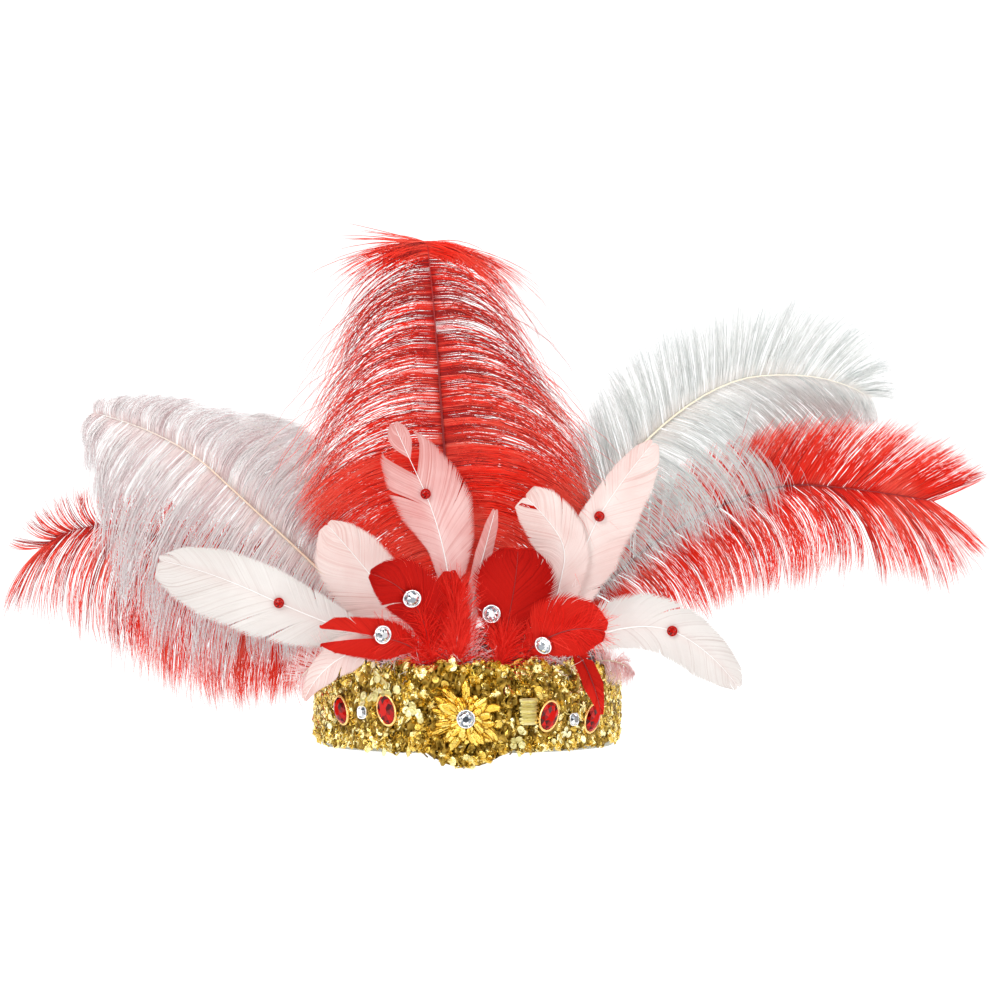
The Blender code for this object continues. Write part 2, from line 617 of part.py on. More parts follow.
def centre_flower(material):
    """A disc of ribbed petals bent round the front of the trim."""
    steps = 2 * FLOWER_PETALS
    back = TRIM_SEAT + TRIM_RELIEF + GAP
    form = bmesh.new()
    layer = form.verts.layers.deform.verify()
    bmesh.ops.create_circle(form, segments=steps, radius=1, cap_ends=True)
    loop = form.verts[:]
    levels = [loop]
    for _ in PETAL_RINGS[1:]:
        edges = [e for e in form.edges if e.verts[0] in loop and e.verts[1] in loop]
        grown = bmesh.ops.extrude_edge_only(form, edges=edges)
        loop = [item for item in grown["geom"] if isinstance(item, bmesh.types.BMVert)]
        levels.append(loop)
    for ring, verts in zip(PETAL_RINGS, levels):
        for vert in verts:
            turn = math.atan2(vert.co.y, vert.co.x)
            rib = round(turn * steps / (2 * math.pi)) % 2
            reach = FLOWER_RADIUS * ring.reach * (1 if rib else ring.notch)
            azimuth = math.degrees(math.asin(reach * math.cos(turn) / (HEAD_WIDTH / 2 + back)))
            vert.co = ring_point(azimuth, back, FLOWER_HEIGHT + reach * math.sin(turn))
            vert[layer][0] = ring.thickness * (1 if rib else FLOWER_VALLEY)
    bmesh.ops.recalc_face_normals(form, faces=form.faces[:])
    form.faces.ensure_lookup_table()
    if form.faces[0].normal.y > 0:
        bmesh.ops.reverse_faces(form, faces=form.faces[:])
    mesh = bpy.data.meshes.new("centre_flower")
    form.to_mesh(mesh)
    form.free()
    obj = add_object("centre_flower", mesh, material)
    obj.vertex_groups.new(name="thickness")
    wall = obj.modifiers.new("wall", "SOLIDIFY")
    wall.thickness = FLOWER_WALL
    wall.offset = 1
    wall.vertex_group = "thickness"
    return obj


# Feathers

def shaft_points(root, length, turns, shares):
    """Points and headings along a shaft, found by walking it in short steps."""
    path = [root.copy()]
    for step in range(SHAFT_WALK):
        at = (step + 0.5) / SHAFT_WALK
        heading = math.radians(row_value(turns, at, "heading"))
        lean = math.radians(row_value(turns, at, "lean"))
        ahead = Vector((
            math.sin(heading) * math.cos(lean),
            math.sin(lean),
            math.cos(heading) * math.cos(lean),
        ))
        path.append(path[-1] + ahead * length / SHAFT_WALK)
    found = []
    for at in shares:
        place = min(max(at, 0.0), 1.0) * SHAFT_WALK
        index = min(int(place), SHAFT_WALK - 1)
        point = path[index].lerp(path[index + 1], place - index)
        found.append((point, row_value(turns, at, "heading")))
    return found


def barb_point(start, heading_from, heading_to, length, share, bow):
    """A point along a barb that turns evenly from one heading to the other."""
    point = start.copy()
    for step in range(BARB_WALK):
        at = (step + 0.5) / BARB_WALK * share
        heading = math.radians(heading_from + (heading_to - heading_from) * at)
        point += Vector((math.sin(heading), 0, math.cos(heading))) * length * share / BARB_WALK
    point.y += bow * length * share ** 2
    return point


def feather_root(feather, seat, quill):
    """Foot of a quill: its lower corner stays a gap above the band it stands on."""
    dip = quill / 2 * math.sin(math.radians(abs(feather.turns[0].lean)))
    return ring_point(feather.azimuth, seat, BAND_HEIGHT + GAP + dip + feather.rise)


def plume_row(plume, at, point, notch):
    """Points across a plume from its left tips to its right tips."""
    half = PLUME_QUILL / 2
    bare = at < plume.barbs[0].at
    reach = {}
    for side in ("left", "right"):
        length = 0 if bare else PLUME_BARB * plume.barb * row_value(plume.barbs, at, side)
        heading_from = row_value(plume.barbs, at, side + "_from")
        heading_to = row_value(plume.barbs, at, side + "_to")
        if length < half:
            heading = row_value(plume.turns, at, "heading") + (-90 if side == "left" else 90)
            heading_from, heading_to, length = heading, heading, half
        reach[side] = [
            barb_point(point, heading_from, heading_to, length, share, plume.bow)
            for share in (MIDDLE_REACH, 1.0 if bare else notch)
        ]
    middle, tip = reach["left"]
    return [tip, middle, point, reach["right"][0], reach["right"][1]]


def plume_solid(plume, seat_offset, material):
    root = feather_root(plume, seat_offset, PLUME_QUILL)
    length = PLUME_LENGTH * plume.length
    start = plume.barbs[0].at
    upright = plume.turns[1].at
    shares = [0.0, upright, (upright + start) / 2]
    count = 2 * plume.locks
    shares += [start + (1 - start) * k / count for k in range(count + 1)]
    points = shaft_points(root, length, plume.turns, shares)
    rows, weights = [], []
    for index, (at, (point, _)) in enumerate(zip(shares, points)):
        notch = LOCK_NOTCH if index % 2 == 0 else 1.0
        rows.append(plume_row(plume, at, point, notch))
        bare = at < start
        edge = 1.0 if bare else EDGE_SHARE
        middle = 1.0 if bare else MIDDLE_SHARE
        weights.append([edge, middle, 1.0, middle, edge])
    return sheet(plume.name, root, rows, weights, PLUME_QUILL, 0, material)


def goose_point(goose, at, side, point, heading):
    """A point on a goose vane: side runs from -1 on the left edge to 1 on the right."""
    column = "left" if side < 0 else "right"
    width = GOOSE_WIDTH * goose.width
    half = width * row_value(goose.vanes, at, column)
    if at < goose.vanes[0].at:
        half = 0
    half = max(half, GOOSE_QUILL / 2)
    turn = math.radians(heading)
    across = Vector((math.cos(turn), 0, -math.sin(turn)))
    bent = goose.cup * side * side * min(1.0, half / width)
    return point + across * half * side + Vector((0, bent, 0))


def goose_solid(goose, material):
    root = feather_root(goose, GOOSE_SEAT, GOOSE_QUILL)
    start = goose.vanes[0].at
    upright = goose.turns[1].at
    shares = [0.0, upright, (upright + start) / 2]
    shares += [start + (1 - start) * k / GOOSE_ROWS for k in range(GOOSE_ROWS + 1)]
    rows, weights = [], []
    points = shaft_points(root, GOOSE_LENGTH * goose.length, goose.turns, shares)
    for at, (point, heading) in zip(shares, points):
        rows.append([goose_point(goose, at, side, point, heading) for side in (-1, -0.5, 0, 0.5, 1)])
        bare = at < start
        edge = 1.0 if bare else EDGE_SHARE
        middle = 1.0 if bare else MIDDLE_SHARE
        weights.append([edge, middle, 1.0, middle, edge])
    return sheet(goose.name, root, rows, weights, GOOSE_QUILL, 0, material)


# Seats on finished pieces

def surface_of(obj):
    bpy.context.view_layer.update()
    tree = BVHTree.FromObject(obj, bpy.context.evaluated_depsgraph_get())
    return tree, obj.matrix_world.copy()


def hit(surface, point, outward):
    """The surface under a point, seen from outside, or nothing."""
    tree, world = surface
    back = world.inverted()
    start = back @ (point + outward * SEAT_REACH)
    found = tree.ray_cast(start, back.to_3x3() @ -outward, 2 * SEAT_REACH)[0]
    return world @ found if found else None


def seat(surface, point, outward, width, height):
    """Matrix of a stone whose flat back lies a gap above the surface under it."""
    ring = SEAT_RING
    up = Vector((0, 0, 1))
    for _ in range(2):
        across = up.cross(outward).normalized()
        rise = outward.cross(across).normalized()
        around = []
        for k in range(ring):
            turn = 2 * math.pi * k / ring
            spot = point + across * math.cos(turn) * width / 2 + rise * math.sin(turn) * height / 2
            around.append(hit(surface, spot, outward))
        centre = hit(surface, point, outward) or point
        normal = Vector()
        for k in range(ring):
            first, second = around[k], around[(k + ring // 4) % ring]
            if first and second:
                normal += (first - centre).cross(second - centre)
        if normal.length > 0:
            normal.normalize()
            outward = normal if normal.dot(outward) > 0 else -normal
    across = up.cross(outward).normalized()
    rise = outward.cross(across).normalized()
    clear = 0.0
    for share in (0.0, 0.35, 0.7, 1.0):
        for k in range(ring):
            turn = 2 * math.pi * k / ring
            spot = centre + across * math.cos(turn) * share * width / 2
            spot += rise * math.sin(turn) * share * height / 2
            found = hit(surface, spot, outward)
            if found:
                clear = max(clear, (found - centre).dot(outward))
    place = centre + outward * (clear + GAP)
    return Matrix.Translation(place) @ Matrix((across, rise, outward)).transposed().to_4x4()


# Stones

def rings_object(name, rings, width, height, depth, sides, square, material, matrix):
    """Loops of a stone or setting, from its back to its table, bridged and capped."""
    form = bmesh.new()
    loops = []
    for ring in rings:
        made = bmesh.ops.create_circle(form, segments=sides, radius=1)
        for k, vert in enumerate(made["verts"]):
            turn = 2 * math.pi * (k + ring.twist) / sides
            bulge = 1 - square * math.cos(4 * turn)
            vert.co = Vector((
                math.cos(turn) * width / 2 * ring.radius * bulge,
                math.sin(turn) * height / 2 * ring.radius * bulge,
                depth * ring.level,
            ))
        loops.append(made["verts"])
    for low, high in zip(loops, loops[1:]):
        for k in range(sides):
            after = (k + 1) % sides
            form.faces.new((low[k], low[after], high[after]))
            form.faces.new((low[k], high[after], high[k]))
    form.faces.new(list(reversed(loops[0])))
    form.faces.new(loops[-1])
    bmesh.ops.recalc_face_normals(form, faces=form.faces[:])
    mesh = bpy.data.meshes.new(name)
    form.to_mesh(mesh)
    form.free()
    obj = add_object(name, mesh, material)
    obj.matrix_world = matrix
    return obj


def rimmed_stone(name, size, square, matrix, material):
    """A cut stone with a table, fused to its thin metal cup."""
    depth = size * STONE_DEPTH
    return rings_object(name, CUT_LOOPS, size, size, depth, STONE_SIDES, square, material, matrix)


def oval_stone(stone, surface, setting_material, stone_material):
    """A red oval cabochon in an open dish."""
    outward = ring_outward(stone.azimuth, TRIM_SEAT)
    point = ring_point(stone.azimuth, TRIM_SEAT, stone.height)
    rim = SETTING_WALL + GAP
    width = OVAL_WIDTH + 2 * rim
    height = OVAL_HEIGHT + 2 * rim
    matrix = seat(surface, point, outward, width, height)
    inner = 1 - 2 * SETTING_WALL / width
    floor = SETTING_WALL / SETTING_DEPTH
    dish = (Loop(1, 0, 0), Loop(1, 1, 0), Loop(inner, 1, 0), Loop(inner, floor, 0))
    rings_object(
        stone.name + "_setting", dish, width, height, SETTING_DEPTH, OVAL_SIDES, 0,
        setting_material, matrix,
    )
    lift = Matrix.Translation(Vector((0, 0, SETTING_WALL + GAP)))
    # The stone narrows by the same share of its width and height as the dish does
    shrink = inner - 2 * GAP / width
    rings_object(
        stone.name, CABOCHON_LOOPS, width * shrink, height * shrink, OVAL_DEPTH, OVAL_SIDES, 0,
        stone_material, matrix @ lift,
    )


def main():
    clear_scene()
    model = bpy.data.collections.new("carnival_feather_headdress")
    bpy.context.scene.collection.children.link(model)

    felt_backing(new_material("black_felt", (0.012, 0.012, 0.013, 1), 0.95))
    head_band(new_material("cream_cloth", (0.62, 0.63, 0.50, 1), 0.9))
    gold = new_material("gold_gimp", (0.80, 0.52, 0.10, 1), 0.35, 1.0)
    trim = gold_trim(gold)
    flower = centre_flower(gold)

    dyes = {}
    for feather in PLUMES + DOWNS + GEESE:
        if feather.dye not in dyes:
            dyes[feather.dye] = new_material("feather_%d" % len(dyes), feather.dye, 0.6)
    for plume in PLUMES:
        plume_solid(plume, PLUME_SEAT, dyes[plume.dye])
    for down in DOWNS:
        plume_solid(down, DOWN_SEAT, dyes[down.dye])
    geese = {goose.name: (goose, goose_solid(goose, dyes[goose.dye])) for goose in GEESE}

    clear_glass = new_material("clear_glass", (0.86, 0.90, 0.95, 1), 0.08)
    red_glass = new_material("red_glass", (0.60, 0.01, 0.01, 1), 0.12)
    rim_gold = new_material("rim_gold", (0.80, 0.45, 0.10, 1), 0.3, 1.0)
    surface = surface_of(trim)
    for stone in OVAL_STONES:
        oval_stone(stone, surface, rim_gold, red_glass)
    for stone in SQUARE_STONES:
        point = ring_point(stone.azimuth, TRIM_SEAT, stone.height)
        outward = ring_outward(stone.azimuth, TRIM_SEAT)
        matrix = seat(surface, point, outward, SQUARE_STONE, SQUARE_STONE)
        rimmed_stone(stone.name, SQUARE_STONE, SQUARE_BULGE, matrix, clear_glass)

    front = Vector((0, -1, 0))
    petals = surface_of(flower)
    middle = ring_point(0, TRIM_SEAT, FLOWER_HEIGHT)
    matrix = seat(petals, middle, front, CENTRE_STONE, CENTRE_STONE)
    rimmed_stone("centre_stone", CENTRE_STONE, 0, matrix, clear_glass)

    for stone in FEATHER_STONES:
        goose, obj = geese[stone.feather]
        root = feather_root(goose, GOOSE_SEAT, GOOSE_QUILL)
        length = GOOSE_LENGTH * goose.length
        point, heading = shaft_points(root, length, goose.turns, [stone.at])[0]
        point = goose_point(goose, stone.at, stone.side, point, heading)
        matrix = seat(surface_of(obj), point, front, stone.size, stone.size)
        rimmed_stone(stone.name, stone.size, 0, matrix, clear_glass if stone.clear else red_glass)


main()
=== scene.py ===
import math

import bmesh
import bpy
import numpy as np
from mathutils import Matrix, Vector


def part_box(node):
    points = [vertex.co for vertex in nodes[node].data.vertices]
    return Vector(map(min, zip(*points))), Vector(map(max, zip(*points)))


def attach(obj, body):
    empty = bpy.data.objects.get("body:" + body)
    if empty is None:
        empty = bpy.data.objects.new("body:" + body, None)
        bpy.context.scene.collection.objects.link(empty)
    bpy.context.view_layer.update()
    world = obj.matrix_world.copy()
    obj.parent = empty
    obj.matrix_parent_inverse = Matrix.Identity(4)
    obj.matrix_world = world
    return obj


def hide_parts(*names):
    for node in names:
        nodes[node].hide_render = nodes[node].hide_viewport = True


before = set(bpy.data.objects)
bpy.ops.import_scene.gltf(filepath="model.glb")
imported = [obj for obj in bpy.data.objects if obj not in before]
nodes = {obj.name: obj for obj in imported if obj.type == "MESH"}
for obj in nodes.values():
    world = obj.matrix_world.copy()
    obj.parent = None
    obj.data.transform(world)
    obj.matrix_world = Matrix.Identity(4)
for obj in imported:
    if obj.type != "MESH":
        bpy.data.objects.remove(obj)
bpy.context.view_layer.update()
mm = 0.001
print("frame loaded:", len(nodes), "nodes")


# camera, light and floor
shot = {
    "place": (0.0193, -2.4, 0.1419), "lens": 147.5, "sensor": 36,
    "aim": (0.02, -0.05, 0.12), "floor": -450, "floorRadius": 2200, "floorShade": 0.93, "floorGlow": 0.3,
    "worldLight": 0.84, "worldSeen": 1.15,
    "glintScale": 2.4, "glintEdges": (0.42, 0.60), "glintRange": (0.08, 2.3),  # bright and dark parts of the room
    "lamps": [  # name, place, size, watts
        ("keyLamp", (-1.3, -1.9, 1.7), 0.7, 20),
        ("fillLamp", (1.7, -1.6, 0.7), 1.2, 6),
        ("topLamp", (0.1, 0.4, 2.0), 1.0, 8),
        ("backLamp", (0.6, 1.9, 1.1), 1.4, 6),
    ],
}


def makeShot():
    scene = bpy.context.scene
    scene.view_settings.view_transform = "Standard"
    camera = bpy.data.objects.new("camera", bpy.data.cameras.new("camera"))
    camera.location = shot["place"]
    camera.rotation_euler = (math.pi / 2, 0, 0)
    camera.data.lens = shot["lens"]
    camera.data.sensor_width = shot["sensor"]
    camera.data.clip_start = 0.1
    scene.collection.objects.link(camera)
    scene.camera = camera
    for name, place, size, watts in shot["lamps"]:
        lamp = bpy.data.objects.new(name, bpy.data.lights.new(name, "AREA"))
        lamp.data.shape = "DISK"
        lamp.data.size = size
        lamp.data.energy = watts
        lamp.location = place
        aim = Vector(shot["aim"]) - Vector(place)
        lamp.rotation_euler = aim.to_track_quat("-Z", "Y").to_euler()
        lamp.visible_camera = False
        scene.collection.objects.link(lamp)
    world = bpy.data.worlds.new("softRoom")
    world.use_nodes = True
    tree = world.node_tree
    tree.nodes.clear()
    path = tree.nodes.new("ShaderNodeLightPath")
    lit = tree.nodes.new("ShaderNodeBackground")
    seen = tree.nodes.new("ShaderNodeBackground")
    mix = tree.nodes.new("ShaderNodeMixShader")
    out = tree.nodes.new("ShaderNodeOutputWorld")
    around = addNode(tree, "ShaderNodeTexCoord")
    patches = addNode(tree, "ShaderNodeTexNoise", values={"Scale": shot["glintScale"], "Detail": 1.0})
    tree.links.new(around.outputs["Generated"], patches.inputs["Vector"])
    glint = mapRange(tree, patches.outputs["Fac"], *shot["glintEdges"], *shot["glintRange"])
    pick = addNode(tree, "ShaderNodeMix", {"data_type": "FLOAT"}, {2: shot["worldLight"]})
    tree.links.new(path.outputs["Is Glossy Ray"], pick.inputs[0])
    tree.links.new(glint, pick.inputs[3])
    tree.links.new(pick.outputs[0], lit.inputs["Strength"])
    seen.inputs["Strength"].default_value = shot["worldSeen"]
    for background in (lit, seen):
        background.inputs["Color"].default_value = (1, 1, 1, 1)
    tree.links.new(path.outputs["Is Camera Ray"], mix.inputs[0])
    tree.links.new(lit.outputs[0], mix.inputs[1])
    tree.links.new(seen.outputs[0], mix.inputs[2])
    tree.links.new(mix.outputs[0], out.inputs["Surface"])
    scene.world = world
    form = bmesh.new()
    bmesh.ops.create_circle(form, cap_ends=True, segments=64, radius=shot["floorRadius"] * mm)
    bmesh.ops.translate(form, verts=form.verts, vec=(0, 0, shot["floor"] * mm))
    mesh = bpy.data.meshes.new("floor")
    form.to_mesh(mesh)
    form.free()
    floor = bpy.data.objects.new("floor", mesh)
    material = bpy.data.materials.new("paleFloor")
    material.use_nodes = True
    shader = material.node_tree.nodes["Principled BSDF"]
    shader.inputs["Base Color"].default_value = (*[shot["floorShade"]] * 3, 1)
    shader.inputs["Roughness"].default_value = 0.9
    shader.inputs["Emission Color"].default_value = (1, 1, 1, 1)
    shader.inputs["Emission Strength"].default_value = shot["floorGlow"]
    mesh.materials.append(material)
    scene.collection.objects.link(floor)


# node groups and materials
def newGroup(name, inputs, outputs):
    group = bpy.data.node_groups.new(name, "ShaderNodeTree")
    for label, kind, value in inputs:
        socket = group.interface.new_socket(name=label, in_out="INPUT", socket_type=kind)
        socket.default_value = value
    for label, kind in outputs:
        group.interface.new_socket(name=label, in_out="OUTPUT", socket_type=kind)
    return group, group.nodes.new("NodeGroupInput"), group.nodes.new("NodeGroupOutput")


def addNode(tree, kind, settings=None, values=None):
    node = tree.nodes.new(kind)
    for key, value in (settings or {}).items():
        setattr(node, key, value)
    for key, value in (values or {}).items():
        node.inputs[key].default_value = value
    return node


def mixColour(tree, factor, first, second):
    node = addNode(tree, "ShaderNodeMix", {"data_type": "RGBA"})
    for socket, value in ((node.inputs[0], factor), (node.inputs[6], first), (node.inputs[7], second)):
        if isinstance(value, (tuple, float, int)):
            socket.default_value = value
        else:
            tree.links.new(value, socket)
    return node.outputs[2]


def mapRange(tree, value, low, high, toLow=0.0, toHigh=1.0):
    node = addNode(tree, "ShaderNodeMapRange", {"interpolation_type": "SMOOTHSTEP"},
                   {1: low, 2: high, 3: toLow, 4: toHigh})
    tree.links.new(value, node.inputs[0])
    return node.outputs[0]


def buildFeatherDyeAndShade():
    # dye along a strand, darker and lighter strands by the tint, which also carries painted shade and painted
    # highlight, and soft patches over the feather
    white = (1, 1, 1, 1)
    group, inside, outside = newGroup(
        "featherDyeAndShade",
        [("Along", "NodeSocketFloat", 0.5), ("Tint", "NodeSocketFloat", 0.5),
         ("Root", "NodeSocketColor", white), ("Body", "NodeSocketColor", white),
         ("Tip", "NodeSocketColor", white), ("Dark", "NodeSocketColor", white),
         ("Light", "NodeSocketColor", white)],
        [("Color", "NodeSocketColor")])
    body = mixColour(group, mapRange(group, inside.outputs["Along"], 0.02, 0.30),
                     inside.outputs["Root"], inside.outputs["Body"])
    body = mixColour(group, mapRange(group, inside.outputs["Along"], 0.62, 1.0),
                     body, inside.outputs["Tip"])
    place = addNode(group, "ShaderNodeTexCoord")
    cloud = addNode(group, "ShaderNodeTexNoise", values={"Scale": 34.0, "Detail": 3.0})
    group.links.new(place.outputs["Object"], cloud.inputs["Vector"])
    patch = mapRange(group, cloud.outputs["Fac"], 0.35, 0.70, 0.0, 0.45)
    body = mixColour(group, patch, body, inside.outputs["Light"])
    dark = mapRange(group, inside.outputs["Tint"], 0.0, 0.45, 0.85, 0.0)
    body = mixColour(group, dark, body, inside.outputs["Dark"])
    light = mapRange(group, inside.outputs["Tint"], 0.62, 1.0, 0.0, 0.75)
    body = mixColour(group, light, body, inside.outputs["Light"])
    group.links.new(body, outside.inputs["Color"])
    return group


def buildGoldLeaf():
    # bright, body and brown gold by curl and by place, the bright a painted highlight and the brown a painted shade,
    # with fine thread relief
    group, inside, outside = newGroup(
        "goldLeaf",
        [("Tint", "NodeSocketFloat", 0.5), ("Bright", "NodeSocketColor", (1, 0.8, 0.3, 1)),
         ("Body", "NodeSocketColor", (0.8, 0.5, 0.1, 1)), ("Brown", "NodeSocketColor", (0.3, 0.15, 0.03, 1))],
        [("Color", "NodeSocketColor"), ("Height", "NodeSocketFloat")])
    place = addNode(group, "ShaderNodeTexCoord")
    cloud = addNode(group, "ShaderNodeTexNoise", values={"Scale": 130.0, "Detail": 2.0})
    thread = addNode(group, "ShaderNodeTexVoronoi", values={"Scale": 1400.0})
    for texture in (cloud, thread):
        group.links.new(place.outputs["Object"], texture.inputs["Vector"])
    body = mixColour(group, mapRange(group, inside.outputs["Tint"], 0.45, 1.0),
                     inside.outputs["Body"], inside.outputs["Bright"])
    body = mixColour(group, mapRange(group, inside.outputs["Tint"], 0.35, 0.0, 0.0, 0.8),
                     body, inside.outputs["Brown"])
    body = mixColour(group, mapRange(group, cloud.outputs["Fac"], 0.50, 0.72, 0.0, 0.5),
                     body, inside.outputs["Brown"])
    group.links.new(body, outside.inputs["Color"])
    group.links.new(thread.outputs["Distance"], outside.inputs["Height"])
    return group


def buildWeave():
    # crossed threads from the piece's own arc and rise, darker in the gaps between them as painted shade
    group, inside, outside = newGroup(
        "clothWeave",
        [("Arc", "NodeSocketFloat", 0.0), ("Rise", "NodeSocketFloat", 0.0),
         ("Pitch", "NodeSocketFloat", 0.9), ("Thread", "NodeSocketColor", (1, 1, 1, 1)),
         ("Gap", "NodeSocketColor", (0.5, 0.5, 0.5, 1))],
        [("Color", "NodeSocketColor"), ("Height", "NodeSocketFloat")])
    heights = []
    for label in ("Arc", "Rise"):
        share = addNode(group, "ShaderNodeMath", {"operation": "DIVIDE"})
        group.links.new(inside.outputs[label], share.inputs[0])
        group.links.new(inside.outputs["Pitch"], share.inputs[1])
        turn = addNode(group, "ShaderNodeMath", {"operation": "MULTIPLY"}, {1: 2 * math.pi})
        group.links.new(share.outputs[0], turn.inputs[0])
        wave = addNode(group, "ShaderNodeMath", {"operation": "SINE"})
        group.links.new(turn.outputs[0], wave.inputs[0])
        heights.append(wave.outputs[0])
    cross = addNode(group, "ShaderNodeMath", {"operation": "MULTIPLY"})
    group.links.new(heights[0], cross.inputs[0])
    group.links.new(heights[1], cross.inputs[1])
    body = mixColour(group, mapRange(group, cross.outputs[0], -1.0, 1.0),
                     inside.outputs["Gap"], inside.outputs["Thread"])
    group.links.new(body, outside.inputs["Color"])
    group.links.new(cross.outputs[0], outside.inputs["Height"])
    return group


makeShot()
print("camera, lamps and floor made")
featherDyeAndShade = buildFeatherDyeAndShade()
goldLeaf = buildGoldLeaf()
clothWeave = buildWeave()


def newMaterial(name, values):
    material = bpy.data.materials.new(name)
    material.use_nodes = True
    shader = material.node_tree.nodes["Principled BSDF"]
    for key, value in values.items():
        shader.inputs[key].default_value = value
    return material, material.node_tree, shader


def readAttribute(tree, name):
    return addNode(tree, "ShaderNodeAttribute", {"attribute_name": name}).outputs["Fac"]


def placeGroup(tree, group, values, links):
    node = addNode(tree, "ShaderNodeGroup", {"node_tree": group}, values)
    for key, output in links.items():
        tree.links.new(output, node.inputs[key])
    return node


def featherMaterial(name, look):
    material, tree, shader = newMaterial(name, {
        "Roughness": look.get("roughness", 0.6), "Sheen Weight": look.get("sheen", 0.25),
        "Specular IOR Level": look.get("gloss", 0.35)})
    colours = {key: (*look[key.lower()], 1) for key in ("Root", "Body", "Tip", "Dark", "Light")}
    dye = placeGroup(tree, featherDyeAndShade, colours,
                     {"Along": readAttribute(tree, "along"), "Tint": readAttribute(tree, "tint")})
    tree.links.new(dye.outputs["Color"], shader.inputs["Base Color"])
    # a painted glow in the dye's colour stands in for the light that comes through the thin barbs
    if "through" in look:  # light that comes through the thin barbs
        tree.links.new(dye.outputs["Color"], shader.inputs["Emission Color"])
        shader.inputs["Emission Strength"].default_value = look["through"]
    return material


def goldMaterial(name, look):
    material, tree, shader = newMaterial(name, {"Metallic": 1.0, "Roughness": look["roughness"]})
    colours = {key: (*look[key.lower()], 1) for key in ("Bright", "Body", "Brown")}
    leaf = placeGroup(tree, goldLeaf, colours, {"Tint": readAttribute(tree, "tint")})
    tree.links.new(leaf.outputs["Color"], shader.inputs["Base Color"])
    bump = addNode(tree, "ShaderNodeBump", values={"Strength": 0.35, "Distance": 0.0004})
    tree.links.new(leaf.outputs["Height"], bump.inputs["Height"])
    tree.links.new(bump.outputs["Normal"], shader.inputs["Normal"])
    return material


print("node groups made")


# strands: closed, pointed tubes made many at a time from arrays
def newBundle():
    return {"verts": [], "faces": [], "along": [], "tint": [], "slot": [], "count": 0}


def strandBlock(rings, sides):
    faces = [(0, corner + 1, corner) for corner in range(1, sides - 1)]
    for ring in range(rings - 1):
        for corner in range(sides):
            first = ring * sides + corner
            second = ring * sides + (corner + 1) % sides
            faces += [(first, second, second + sides), (first, second + sides, first + sides)]
    tip, last = rings * sides, (rings - 1) * sides
    faces += [(last + corner, last + (corner + 1) % sides, tip) for corner in range(sides)]
    return np.array(faces)


def addStrands(bundle, paths, radii, tint, slot=0, sides=3, flat=1.0, facing=(0, -1, 0), roll=0.0):
    # paths: strand, point, xyz; radii: strand, point; facing: the side that a flat strand shows
    count, points, _ = paths.shape
    rings = points - 1
    ahead = np.gradient(paths, axis=1)
    ahead /= np.linalg.norm(ahead, axis=2, keepdims=True) + 1e-12
    out = np.broadcast_to(np.asarray(facing, float).reshape(-1, 1, 3), paths.shape)
    across = np.cross(out, ahead)
    across /= np.linalg.norm(across, axis=2, keepdims=True) + 1e-12
    up = np.cross(ahead, across)
    roll = np.broadcast_to(np.asarray(roll, float).reshape(-1, 1, 1), (count, 1, 1))
    across, up = across * np.cos(roll) + up * np.sin(roll), up * np.cos(roll) - across * np.sin(roll)
    angle = math.pi / 2 + 2 * math.pi * np.arange(sides) / sides
    size = radii[:, :rings, None, None]
    loops = (paths[:, :rings, None] + across[:, :rings, None] * np.cos(angle)[None, None, :, None] * size
             + up[:, :rings, None] * np.sin(angle)[None, None, :, None] * size * flat)
    verts = np.concatenate([loops.reshape(count, rings * sides, 3), paths[:, -1:]], axis=1)
    block = strandBlock(rings, sides)
    start = bundle["count"] + np.arange(count)[:, None, None] * verts.shape[1]
    share = np.append(np.repeat(np.arange(rings) / rings, sides), 1.0)
    bundle["verts"].append(verts.reshape(-1, 3))
    bundle["faces"].append((block[None] + start).reshape(-1, 3))
    bundle["along"].append(np.tile(share, count))
    bundle["tint"].append(np.repeat(np.broadcast_to(np.asarray(tint, float), (count,)), verts.shape[1]))
    bundle["slot"].append(np.full(count * len(block), slot))
    bundle["count"] += count * verts.shape[1]


def finishBundle(name, bundle, materials, replaced=(), smooth=True):
    mesh = bpy.data.meshes.new(name)
    faces = np.concatenate(bundle["faces"])
    mesh.from_pydata(np.concatenate(bundle["verts"]).tolist(), [], faces.tolist())
    for key in ("along", "tint"):
        layer = mesh.attributes.new(key, "FLOAT", "POINT")
        layer.data.foreach_set("value", np.concatenate(bundle[key]).astype(np.float32))
    mesh.polygons.foreach_set("material_index", np.concatenate(bundle["slot"]).astype(np.int32))
    mesh.polygons.foreach_set("use_smooth", np.full(len(faces), smooth))
    for material in materials:
        mesh.materials.append(material)
    mesh.update()
    return finishPiece(bpy.data.objects.new(name, mesh), replaced)


def finishPiece(piece, replaced):
    bpy.context.scene.collection.objects.link(piece)
    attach(piece, "root")
    if replaced:
        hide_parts(*replaced)
    print("  %s: %d faces" % (piece.name, len(piece.data.polygons)))
    return piece


# where things stand round the head, as in the model
head = {"width": 161, "depth": 195, "bandHeight": 24, "gap": 0.3, "bandSeat": 2.3, "trimSeat": 4.6}


def ringPoint(azimuth, offset, height):
    turn = np.radians(azimuth)
    return np.stack(np.broadcast_arrays(
        (head["width"] / 2 + offset) * np.sin(turn), -(head["depth"] / 2 + offset) * np.cos(turn),
        np.asarray(height, float)), axis=-1) * mm


def ringOutward(azimuth):
    turn = np.radians(azimuth)
    way = np.stack([np.sin(turn) / head["width"], -np.cos(turn) / head["depth"], np.zeros_like(turn)], axis=-1)
    return way / np.linalg.norm(way, axis=-1, keepdims=True)


def columnAt(table, at, column):
    return np.interp(at, [row[0] for row in table], [row[column] for row in table])


